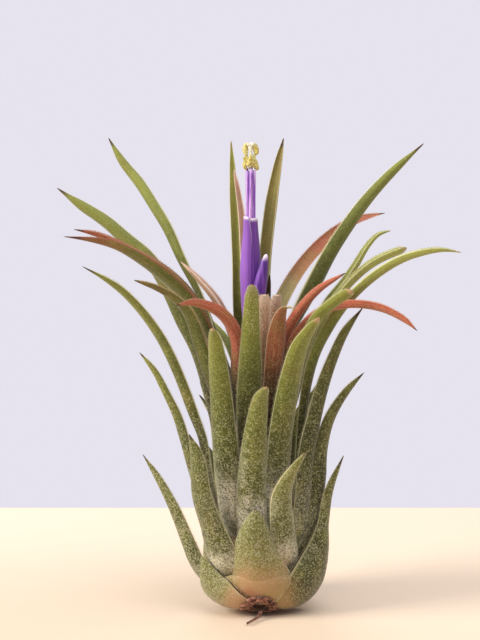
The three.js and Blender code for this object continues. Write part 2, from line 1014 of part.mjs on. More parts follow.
function budSolid() {
  const heights = [
    [-0.3, -1.0, 46.6, 0.5],
    [-0.3, -2.6, 54, 0.9],
    [-0.2, -3.4, 60, 1.2],
    [0.3, -3.6, 65, 1.45],
    [1.0, -3.6, 69, 1.05],
    [1.6, -3.6, 71.6, 0.4],
  ];
  return closedSurface(heights.map(([x, y, z, r]) => flatRing(x, y, z, r, 10)));
}

function driedBract() {
  return {
    name: "dried_bract",
    facing: 330,
    path: [[0.6, -0.4, 42], [1.4, -1.2, 54], [2, -2.4, 61], [2.3, -3.2, 67.6]],
    wide: [0.8, 0.8, 0.7, 0.4],
    colour: "driedBrown",
  };
}

function boxesMeet(a, b) {
  const one = a.boundingBox();
  const two = b.boundingBox();
  return [0, 1, 2].every((i) => one.min[i] < two.max[i] && two.min[i] < one.max[i]);
}

function largestPiece(solid) {
  const pieces = solid.decompose();
  return pieces.reduce((best, piece) => (piece.volume() > best.volume() ? piece : best));
}

function toMesh(name, solid, colour) {
  const data = solid.getMesh();
  const geometry = new THREE.BufferGeometry();
  geometry.setAttribute("position", new THREE.BufferAttribute(new Float32Array(data.vertProperties), 3));
  geometry.setIndex(new THREE.BufferAttribute(new Uint32Array(data.triVerts), 1));
  geometry.computeVertexNormals();
  const material = new THREE.MeshStandardMaterial({
    color: colours[colour],
    roughness: 0.75,
    metalness: 0,
  });
  const mesh = new THREE.Mesh(geometry, material);
  mesh.name = name;
  return mesh;
}

// Inner pieces are kept whole, and each outer piece is cut back to clear them.
function buildPlant() {
  const plant = new THREE.Group();
  const taken = [stemSolid(clearGap)];
  const place = (name, colour, solid, grown) => {
    let rest = solid;
    for (const other of taken) {
      if (boxesMeet(rest, other)) {
        rest = rest.subtract(other);
      }
    }
    plant.add(toMesh(name, largestPiece(rest), colour));
    taken.push(grown);
  };
  plant.add(toMesh("stem_base", stemSolid(0), "stem"));
  place("flower_petals", "violet", petalsSolid(), grownOf(petalsSolid()));
  place("flower_filaments", "filament", filamentsSolid(), grownOf(filamentsSolid()));
  place("flower_anthers", "pollen", anthersSolid(), grownOf(anthersSolid()));
  place("flower_stigma", "stigma", stigmaSolid(), grownOf(stigmaSolid()));
  place("flower_bud", "violet", budSolid(), grownOf(budSolid()));
  const far = farLeaves.map(farLeaf);
  const leaves = [driedBract(), ...innerLeaves, ...far, ...middleLeaves, ...outerLeaves];
  for (const leaf of leaves) {
    place(leaf.name, leaf.colour, leafSolid(leaf, 0), leafSolid(leaf, clearGap));
  }
  place("roots", "wood", rootsSolid(), rootsSolid());
  return plant;
}

// The same solid made larger by the clear gap on every side.
function grownOf(solid) {
  const box = solid.boundingBox();
  const middle = [0, 1, 2].map((i) => (box.min[i] + box.max[i]) / 2);
  const stretch = [0, 1, 2].map((i) => 1 + (2 * clearGap) / (box.max[i] - box.min[i]));
  return solid
    .translate(middle.map((m) => -m))
    .scale(stretch)
    .translate(middle);
}

export default buildPlant();
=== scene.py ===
import math
import random

import bpy
from mathutils import Matrix, Vector


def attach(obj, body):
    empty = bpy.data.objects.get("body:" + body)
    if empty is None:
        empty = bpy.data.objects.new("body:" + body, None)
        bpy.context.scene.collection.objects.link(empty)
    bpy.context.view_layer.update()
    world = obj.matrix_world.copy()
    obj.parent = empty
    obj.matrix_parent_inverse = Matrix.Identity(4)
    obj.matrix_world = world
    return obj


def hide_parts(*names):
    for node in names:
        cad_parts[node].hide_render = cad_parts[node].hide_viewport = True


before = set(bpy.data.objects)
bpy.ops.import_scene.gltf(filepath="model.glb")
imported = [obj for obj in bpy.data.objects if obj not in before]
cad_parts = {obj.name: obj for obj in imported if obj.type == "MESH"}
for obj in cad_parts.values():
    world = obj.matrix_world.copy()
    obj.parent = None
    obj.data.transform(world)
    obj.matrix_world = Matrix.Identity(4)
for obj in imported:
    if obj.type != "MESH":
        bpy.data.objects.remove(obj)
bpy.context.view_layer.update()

mm = 0.001


class Wire:
    # an output socket that can be used in sums
    def __init__(self, finish, socket):
        self.finish = finish
        self.socket = socket

    def sum(self, operation, first, second):
        return self.finish.add("Math", {"operation": operation}, {0: first, 1: second})

    def __add__(self, other):
        return self.sum("ADD", self, other)

    def __sub__(self, other):
        return self.sum("SUBTRACT", self, other)

    def __rsub__(self, other):
        return self.sum("SUBTRACT", other, self)

    def __mul__(self, other):
        return self.sum("MULTIPLY", self, other)

    def __rmul__(self, other):
        return self.sum("MULTIPLY", other, self)

    def __abs__(self):
        return self.sum("ABSOLUTE", self, 0.0)


class Finish:
    # one material: its shader, and a method that adds any other node
    def __init__(self, name, **fixed):
        self.material = bpy.data.materials.new(name)
        self.material.use_nodes = True
        self.tree = self.material.node_tree
        self.shader = self.tree.nodes["Principled BSDF"]
        for socket, value in fixed.items():
            self.shader.inputs[socket.replace("_", " ")].default_value = value

    def feed(self, socket, value):
        if isinstance(value, Wire):
            self.tree.links.new(value.socket, socket)
        else:
            socket.default_value = value

    def add(self, kind, settings=None, sockets=None, out=0):
        node = self.tree.nodes.new("ShaderNode" + kind)
        for name, value in (settings or {}).items():
            setattr(node, name, value)
        for name, value in (sockets or {}).items():
            self.feed(node.inputs[name], value)
        return Wire(self, node.outputs[out])

    def place(self):
        return self.add("TexCoord", out="Object")

    def axis(self, value, index):
        return self.add("SeparateXYZ", None, {0: value}, out=index)

    def stretched(self, place, *scale):
        return self.add("Mapping", None, {"Vector": place, "Scale": scale})

    def cells(self, place, scale, out="Color"):
        # each cell's own colour, or with out="Distance" how far its middle is
        return self.add("TexVoronoi", None, {"Vector": place, "Scale": scale}, out=out)

    def lots(self, place, scale):
        # a number from 0 to 1 for each cell
        return self.add("SeparateColor", None, {0: self.cells(place, scale)})

    def vectors(self, operation, first, second=None, out=0):
        sockets = {0: first} if second is None else {0: first, 1: second}
        return self.add("VectorMath", {"operation": operation}, sockets, out)

    def mix(self, share, one, other):
        settings = {"data_type": "RGBA", "clamp_factor": True}
        return self.add("Mix", settings, {"Factor": share, 6: one, 7: other}, out=2)

    def over(self, body, share, code):
        return self.mix(share, body, tint(code))

    def ease(self, value, start, end):
        # 0 before start and 1 after end, with soft shoulders
        settings = {"interpolation_type": "SMOOTHSTEP"}
        return self.add("MapRange", settings, {"Value": value, 1: start, 2: end})

    def noise(self, place, scale, detail=3.0, rough=0.55):
        sockets = {"Vector": place, "Scale": scale, "Detail": detail, "Roughness": rough}
        return self.add("TexNoise", None, sockets)

    def done(self, colour, rough, height=None, strength=0.4, depth=0.0002):
        self.feed(self.shader.inputs["Base Color"], colour)
        self.feed(self.shader.inputs["Roughness"], rough)
        if height is not None:
            sockets = {"Strength": strength, "Distance": depth, "Height": height}
            bump = self.add("Bump", None, sockets)
            self.feed(self.shader.inputs["Normal"], bump)
        return self.material


def tint(code):
    # a colour as it's read off a screen, in the linear values that the shader wants
    parts = [int(code[i:i + 2], 16) / 255 for i in (0, 2, 4)]
    linear = [p / 12.92 if p <= 0.04045 else ((p + 0.055) / 1.055) ** 2.4 for p in parts]
    return (*linear, 1.0)


# blades: colour low and high and where one turns to the other, margin, dry tip and where it begins,
# how thick the silver scales lie, how tan the foot is, and for some a redder inner face, streaks,
# more or less whitening or a yellower upper half
sharedLook = dict(edgeMix=0.7, edgeFrom=0.82, tipFrom=0.965, tipFade=0.03, scales=0.9, silver=0.5,
                  clasp=0.6, lift=0.0, foot=0.8)
bladeLooks = dict(
    green=dict(low="464A12", high="80863A", turn=(0.3, 0.95), edge="E4DEB2", edgeMix=0.8,
               tip="4A3A22", scales=1.0, foot=0.85),
    fresh=dict(low="545A1E", high="929A4A", turn=(0.3, 0.85), edge="E4DEB2", edgeMix=0.8,
               tip="4A3A22", silver=0.35, clasp=0.25, foot=0.85),
    mossy=dict(low="363A0C", high="5E6628", turn=(0.4, 0.95), edge="CFC79C", tip="3C3220",
               tipFrom=0.96, silver=0.2, clasp=0.9, foot=0.85),
    lime=dict(low="767E36", high="A8AE5A", turn=(0.3, 0.9), edge="E2DFAE", tip="A79A6A",
              tipFrom=0.975, scales=0.7, foot=0.85),
    # shade: the green blade drawn darker, as painted shade, for the leaves on the shaded right side
    shade=dict(low="2C2C0A", high="585A24", turn=(0.4, 0.95), edge="CFC79C", tip="3C3220",
               tipFrom=0.95, scales=0.36, silver=0.2, clasp=0.1),
    brownGreen=dict(low="5E6228", high="75602F", turn=(0.55, 0.95), edge="C8A878", edgeMix=0.65,
                    tip="66563A", scales=0.6),
    redEdge=dict(low="626626", high="8A5634", turn=(0.62, 0.95), edge="96583E", edgeMix=0.75,
                 edgeFrom=0.74, inner="7E4A30", innerMix=0.6, tip="5A3024", tipFrom=0.95,
                 scales=0.5, streak=0.2),
    redBack=dict(low="606428", high="9C4A36", turn=(0.42, 0.8), edge="C47660", tip="4A2C20",
                 tipFrom=0.95, scales=0.5, streak=0.3),
    redBrown=dict(low="8E4A34", high="AC5A42", turn=(0.25, 0.5), edge="E0C4A4", edgeMix=0.8,
                  tip="A39C62", tipFrom=0.8, tipFade=0.12, scales=0.3, streak=0.5, foot=0.6),
    red=dict(low="7A4A2A", high="C4614F", turn=(0.2, 0.46), edge="D48A76", edgeMix=0.55,
             tip="5C3A2C", tipFrom=0.97, scales=0.3, streak=0.6, foot=0.6),
    rose=dict(low="BCB07A", high="BE6650", turn=(0.38, 0.62), edge="D89E88", edgeMix=0.6,
              tip="4C4030", scales=0.35, streak=0.28),
    pink=dict(low="7A5432", high="E0B59C", turn=(0.3, 0.75), edge="FFEAE0", edgeMix=0.85,
              edgeFrom=0.7, tip="E8C8B4", tipFrom=0.9, tipFade=0.08, streak=0.25),
    front=dict(low="42460C", high="7E8630", turn=(0.3, 0.95), edge="D9D3A4", edgeMix=0.6,
               tip="B3946C", tipFrom=0.982, tipFade=0.014, silver=0.75, clasp=0.8, lift=0.4,
               foot=0.85),
    dusk=dict(low="5E6028", high="8A7E40", turn=(0.3, 0.8), edge="D9CFA0", tip="5A4A34",
              tipFrom=0.95, scales=0.4, streak=0.25),
    sheath=dict(low="7E6C3C", high="6A6E2C", turn=(0.35, 0.62), edge="CFC4A4", edgeMix=0.3,
                tip="77743C", tipFrom=0.98, silver=0.2, clasp=0.1, foot=0.95),
)

# how coarse each pattern is, how far streaks and veins are drawn out along the blade, where the
# root scar lies, how widely the tan flesh spreads round it, and where the redder mark is
patterns = dict(
    clouds=130.0, yellowClouds=260.0, whitish=230.0, clumps=520.0, cells=3600.0, grain=4800.0,
    streaks=(34.0, 0.9, 1.0), veins=(52.0, 1.8, 1.0), scar=(0.0005, -0.011, 0.0015),
    spread=(1300.0, 1000.0, 850.0), redMark=(-0.0015, -0.0128, 0.0052))


def bladeBody(f, look, uv, around, along, clouds, place):
    # green turning to the colour of the tip, with brown and yellow clouds
    turn = f.ease(along + clouds * 0.3 - 0.15, *look["turn"])
    body = f.mix(turn, tint(look["low"]), tint(look["high"]))
    body = f.over(body, f.ease(clouds, 0.5, 0.75) * 0.35, "6E4E22")
    yellow = f.noise(place, patterns["yellowClouds"], 2.0)
    body = f.over(body, f.ease(yellow, 0.5, 0.8) * 0.3, "9AA048")

    # the inner face of some is redder, and some are streaked from end to end
    if "inner" in look:
        body = f.over(body, f.ease(around, 0.49, 0.51) * look["innerMix"], look["inner"])
    if "streak" in look:
        streaks = f.noise(f.stretched(uv, *patterns["streaks"]), 1.0, 3.0)
        body = f.over(body, f.ease(streaks, 0.52, 0.68) * look["streak"], "DDA48E")
        body = f.over(body, f.ease(streaks, 0.46, 0.32) * look["streak"] * 0.6, "5A2E1C")
    return body


def whitenedAndShaded(f, look, body, edge, along, height, clouds, place, lot):
    # whitish clouds of specks on the clasping feet, most of them beside the margins
    specks = f.ease(lot, 0.85, 0.4) * 0.8 + 0.2
    clouded = f.noise(place, patterns["whitish"], 3.0, 0.6)
    reach = f.ease(height + clouds * 14.0, 48.0, 26.0) * f.ease(height, 8.0, 16.0)
    patch = f.ease(clouded + edge * 0.2, 0.56, 0.7) * reach
    body = f.over(body, patch * specks * look["silver"], "D2CEB2")
    clasp = f.ease(along + clouded * 0.34, 0.54, 0.42) * f.ease(height, 6.0, 14.0)
    clasp = clasp * f.ease(height + clouds * 8.0, 38.0, 28.0)
    body = f.over(body, clasp * specks * look["clasp"] * 1.5, "E8E2D4")

    # the front leaves are yellower higher up, and the feet deep in the rosette are darkened with
    # painted shade
    body = f.over(body, f.ease(height, 44.0, 64.0) * look["lift"], "9AA03E")
    deep = f.ease(along, 0.42, 0.2) * f.ease(height, 24.0, 34.0)
    return f.over(body, deep * 0.8, "261C0C")


def bladeFinish(name, look):
    f = Finish("blade_" + name, Sheen_Weight=0.25, Sheen_Roughness=0.5, Specular_IOR_Level=0.3)
    uv = f.add("UVMap", {"uv_map": "blade"})
    around, along = f.axis(uv, 0), f.axis(uv, 1)
    place = f.place()
    height = f.axis(place, 2) * 1000.0
    edge = abs(abs(around * 2.0 - 1.0) * 2.0 - 1.0)
    clouds = f.noise(place, patterns["clouds"])
    lot = f.lots(place, patterns["cells"])
    body = bladeBody(f, look, uv, around, along, clouds, place)
    body = whitenedAndShaded(f, look, body, edge, along, height, clouds, place, lot)

    # a grain of tiny cells, each a little lighter or darker, and fine veins along the blade
    grain = f.lots(place, patterns["grain"])
    rough = f.ease(height, 74.0, 34.0) * 0.7 + 0.3
    body = f.over(body, f.ease(grain, 0.6, 1.0) * rough * 0.4, "CACB8C")
    body = f.over(body, f.ease(grain, 0.45, 0.0) * rough * 0.55, "2C2E08")
    veins = f.noise(f.stretched(uv, *patterns["veins"]), 1.0, 2.0)
    body = f.over(body, f.ease(veins, 0.35, 0.7) * 0.35, "4E5220")

    # the flesh round the root scar is tan and a little pink
    offset = f.vectors("SUBTRACT", place, patterns["scar"])
    away = f.vectors("LENGTH", f.vectors("MULTIPLY", offset, patterns["spread"]), out="Value")
    foot = f.ease(away + clouds * 8.0, 17.5, 9.0)
    pale = f.ease(height + clouds * 14.0, 24.0, 8.0)
    flesh = f.mix(f.ease(clouds, 0.4, 0.6), tint("B58A60"), tint("A98A50"))
    body = f.mix(foot * look["foot"], body, flesh)
    near = f.vectors("DISTANCE", place, patterns["redMark"], out="Value") * 1000.0
    body = f.over(body, f.ease(near + clouds * 1.5, 2.9, 1.3) * 0.5, "A4583F")

    # silver scales, thick on the foot and few near the tip
    clumps = f.noise(place, patterns["clumps"], 3.0)
    thick = look["scales"] * f.ease(height, 56.0, 4.0) * (clumps * 1.1 + 0.15)
    far = f.cells(place, patterns["cells"], out="Distance")
    scales = f.ease(thick - lot, 0.0, 0.1) * f.ease(far, 0.62, 0.35) * (1.0 - foot * 0.8)
    silver = f.mix(foot, tint("BDBB96"), tint("D6C6AE"))
    frost = f.ease(height + clumps * 16.0, 50.0, 10.0)
    body = f.over(body, (frost * 0.06 + pale * 0.15) * look["scales"], "9A9272")
    body = f.mix(scales * 0.66, body, silver)

    # pale margin, the scales that stand off the blade, and the dry tip
    margin = f.ease(edge, look["edgeFrom"], 0.96) * look["edgeMix"]
    body = f.over(body, margin, look["edge"])
    body = f.mix(f.ease(edge, 1.5, 2.5), body, f.mix(0.65, silver, tint(look["edge"])))
    tipEnd = look["tipFrom"] + look["tipFade"]
    body = f.over(body, f.ease(along + clouds * 0.03, look["tipFrom"], tipEnd), look["tip"])

    relief = scales * 0.7 + veins * 0.5 + clumps * 0.3
    return f.done(body, scales * 0.25 + 0.52 + foot * 0.1, relief, 0.5, 0.00018)


bladeFinishes = {name: bladeFinish(name, sharedLook | look) for name, look in bladeLooks.items()}
print("blade finishes made:", len(bladeFinishes))


def smoothPoint(points, share):
    # a point on the smooth line through all the points, counted evenly from the first to the last
    spans = len(points) - 1
    span = min(spans - 1, int(share * spans))
    t = share * spans - span
    p1, p2 = points[span], points[span + 1]
    p0 = points[span - 1] if span > 0 else p1 * 2 - p2
    p3 = points[span + 2] if span + 2 <= spans else p2 * 2 - p1
    d0, d1, d2 = [math.sqrt(max((b - a).length, 1e-6)) for a, b in ((p0, p1), (p1, p2), (p2, p3))]
    m1 = ((p1 - p0) / d0 - (p2 - p0) / (d0 + d1) + (p2 - p1) / d1) * d1
    m2 = ((p2 - p1) / d1 - (p3 - p1) / (d1 + d2) + (p3 - p2) / d2) * d1
    squared, cubed = p2 * 3 - p1 * 3 - m1 * 2 - m2, p1 * 2 - p2 * 2 + m1 + m2
    return p1 + m1 * t + squared * t * t + cubed * t ** 3


def between(values, share):
    # the value at that share of an evenly spaced list
    place = min(max(share, 0.0), 1.0) * (len(values) - 1)
    low = min(len(values) - 2, int(place))
    return values[low] + (values[low + 1] - values[low]) * (place - low)


def shareOf(heights, z):
    # where a height stands in an uneven list, as the share that between() takes
    for index, (low, high) in enumerate(zip(heights, heights[1:])):
        if z <= high:
            return (index + max(0.0, (z - low) / (high - low))) / (len(heights) - 1)
    return 1.0


def turnedBy(degrees):
    angle = math.radians(degrees)
    return Vector((-math.sin(angle), math.cos(angle), 0))


def selectOnly(*pieces):
    bpy.ops.object.select_all(action="DESELECT")
    for piece in pieces:
        piece.select_set(True)
    bpy.context.view_layer.objects.active = pieces[0]


def fresh(make, **settings):
    # a new piece, the only one selected
    bpy.ops.object.select_all(action="DESELECT")
    make(**settings)
    return bpy.context.object


def softened(piece):
    soft = piece.modifiers.new("soft", "SUBSURF")
    soft.levels = soft.render_levels = 1
    finishMesh(piece)
    return piece


def mended(weld=None, fill=False):
    # the active piece is welded where asked, and its holes are filled or its faces turned outwards
    bpy.ops.object.mode_set(mode="EDIT")
    bpy.ops.mesh.select_all(action="SELECT")
    if weld:
        bpy.ops.mesh.remove_doubles(threshold=weld)
    if fill:
        bpy.ops.mesh.fill_holes(sides=0)
    else:
        bpy.ops.mesh.normals_make_consistent(inside=False)
    bpy.ops.object.mode_set(mode="OBJECT")


def finishMesh(piece):
    # modifiers are applied in their order, the piece is smoothed and its place goes into the mesh
    selectOnly(piece)
    for modifier in list(piece.modifiers):
        bpy.ops.object.modifier_apply(modifier=modifier.name)
    bpy.ops.object.transform_apply()
    bpy.ops.object.shade_smooth()


def wear(piece, node):
    # the piece takes the place of its plain solid
    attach(piece, "root")
    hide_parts(node)


def dress(piece, material, slot, node):
    piece.data.materials.clear()
    piece.data.materials.append(material)
    wear(piece, node)


# the strip that every blade is shaped from
blade = dict(cutsAround=20, cutsAlong=40, footCurl=38, curl=108, curlFrom=0.45, channel=0.4,
             sharpFrom=0.92, sharpTo=0.35, roundFrom=0.94, roundBy=0.96, step=0.004, weld=5e-7)


def bladeFrame(leaf, share):
    # middle of the blade, its sideways and inward directions, and its arc's radius and half angle
    points = leaf["points"]
    centre = smoothPoint(points, share)
    ahead = smoothPoint(points, min(1, share + blade["step"]))
    behind = smoothPoint(points, max(0, share - blade["step"]))
    along = (ahead - behind).normalized()
    around = turnedBy(leaf["facing"])
    side = (around - along * around.dot(along)).normalized()
    side = Matrix.Rotation(math.radians(leaf.get("roll", 0)) * share, 3, along) @ side
    inward = along.cross(side)
    wide = between(leaf["wide"], share)
    if leaf.get("blunt"):
        early = leaf.get("roundFrom", blade["roundFrom"])
        late = max(0.0, (share - early) / (1 - early))
        wide *= math.sqrt(1 - blade["roundBy"] * late * late)
    else:
        late = max(0.0, (share - blade["sharpFrom"]) / (1 - blade["sharpFrom"]))
        wide *= 1 + (blade["sharpTo"] - 1) * late
    opening = min(1, share / blade["curlFrom"])
    curl = leaf.get("curl", blade["curl"])
    angle = math.radians(blade["footCurl"] + (curl - blade["footCurl"]) * opening)
    return centre, side, inward, wide / math.sin(min(angle, math.pi / 2)), angle


def sectionPoint(radius, angle, channel, around):
    # the back of the blade is an arc from margin to margin, and the inner face sags between them
    deep = radius * (1 - math.cos(angle))
    if around <= 0.5:
        turn = (around * 4 - 1) * angle
        return radius * math.sin(turn), radius * (1 - math.cos(turn)) - deep / 2
    across = 3 - around * 4
    return radius * math.sin(angle) * across, deep / 2 - deep * channel * (1 - across * across)


def makeBlade(leaf):
    # a flat strip is closed to a channelled section and laid along the leaf's line
    leaf["points"] = [Vector(knot[:3]) for knot in leaf["knots"]]
    leaf["wide"] = [knot[3] for knot in leaf["knots"]]
    piece = fresh(bpy.ops.mesh.primitive_grid_add, x_subdivisions=blade["cutsAround"],
                  y_subdivisions=blade["cutsAlong"], size=1)
    piece.name = leaf["node"]
    piece.data.uv_layers[0].name = "blade"
    rows = {}
    for vertex in piece.data.vertices:
        around, share = vertex.co.x + 0.5, min(1, max(0, vertex.co.y + 0.5))
        key = round(share, 5)
        if key not in rows:
            rows[key] = bladeFrame(leaf, share)
        centre, side, inward, radius, angle = rows[key]
        x, lift = sectionPoint(radius, angle, leaf.get("channel", blade["channel"]), around)
        vertex.co = (centre + side * x + inward * lift) * mm
    mended(weld=blade["weld"], fill=True)
    return softened(piece)


# silver scales that stand off the blade: gap between them on the margins, how many lie on the
# back and on a fuzzy top, the height from which they thin out and over how many millimetres
flakes = dict(gap=0.3, onBack=0.9, onFuzzyTop=500, fuzzyPart=0.32, thinFrom=8, thinOver=62,
              back=(0.02, 0.46), long=(0.12, 0.3), wide=0.12, high=0.05, lean=0.4, spin=0.6,
              sunk=0.02)


def flakeSpots(leaf):
    # margins are fringed from end to end, and the back is thickly set near the foot
    length = sum((b - a).length for a, b in zip(leaf["points"], leaf["points"][1:]))
    first, across = flakes["back"]
    for start in (0.0, 0.5):
        for count in range(int(length / flakes["gap"])):
            yield (count + chance.random()) * flakes["gap"] / length * 0.97 + 0.01, start
    for count in range(int(length * flakes["onBack"] * max(leaf["wide"]) * 4)):
        share = chance.random()
        height = smoothPoint(leaf["points"], share).z
        thin = min(1, max(0, (height - flakes["thinFrom"]) / flakes["thinOver"]))
        if chance.random() < 0.9 * (1 - thin) ** 1.5 + 0.01:
            yield share, first + across * chance.random()
    for count in range(flakes["onFuzzyTop"] if "fuzz" in leaf else 0):
        share = 0.985 - flakes["fuzzyPart"] * chance.random() ** 2.2
        yield share, first + across * chance.random()


def flakeFringe(leaf):
    # each scale is a sliver with four faces that leans out towards the tip of the blade
    corners, faces = [], []
    half = flakes["wide"] / 2
    for share, around in flakeSpots(leaf):
        centre, side, inward, radius, angle = bladeFrame(leaf, min(0.99, share))
        x, lift = sectionPoint(radius, angle, leaf.get("channel", blade["channel"]), around)
        turn = (around * 4 - 1) * angle
        out = side * math.sin(turn) - inward * math.cos(turn)
        along = side.cross(inward).normalized()
        spin = chance.uniform(-flakes["spin"], flakes["spin"])
        ahead = (along * math.cos(spin) + out.cross(along) * math.sin(spin)
                 + out * flakes["lean"] * chance.random()).normalized()
        across = ahead.cross(out).normalized()
        root = centre + side * x + inward * lift - out * flakes["sunk"]
        size = chance.uniform(*flakes["long"]) * leaf.get("fuzz", 1)
        first = len(corners)
        corners += [root - across * half, root + across * half, root + out * flakes["high"],
                    root + ahead * size]
        faces += [(first, first + 1, first + 3), (first + 1, first + 2, first + 3),
                  (first + 2, first, first + 3), (first, first + 2, first + 1)]
    mesh = bpy.data.meshes.new("fringe")
    mesh.from_pydata([corner * mm for corner in corners], [], faces)
    for item in mesh.uv_layers.new(name="blade").data:
        item.uv = (1.5, 0.5)
    fringe = bpy.data.objects.new("fringe", mesh)
    bpy.context.scene.collection.objects.link(fringe)
    selectOnly(fringe)
    mended()
    return fringe


chance = random.Random(3)


def leafRow(node, finish, facing, knots, **more):
    return dict(node=node, finish=finish, facing=facing, knots=knots, **more)


# how far a short broad leaf curls, with its blunt tip
broad = dict(curl=70, blunt=True)

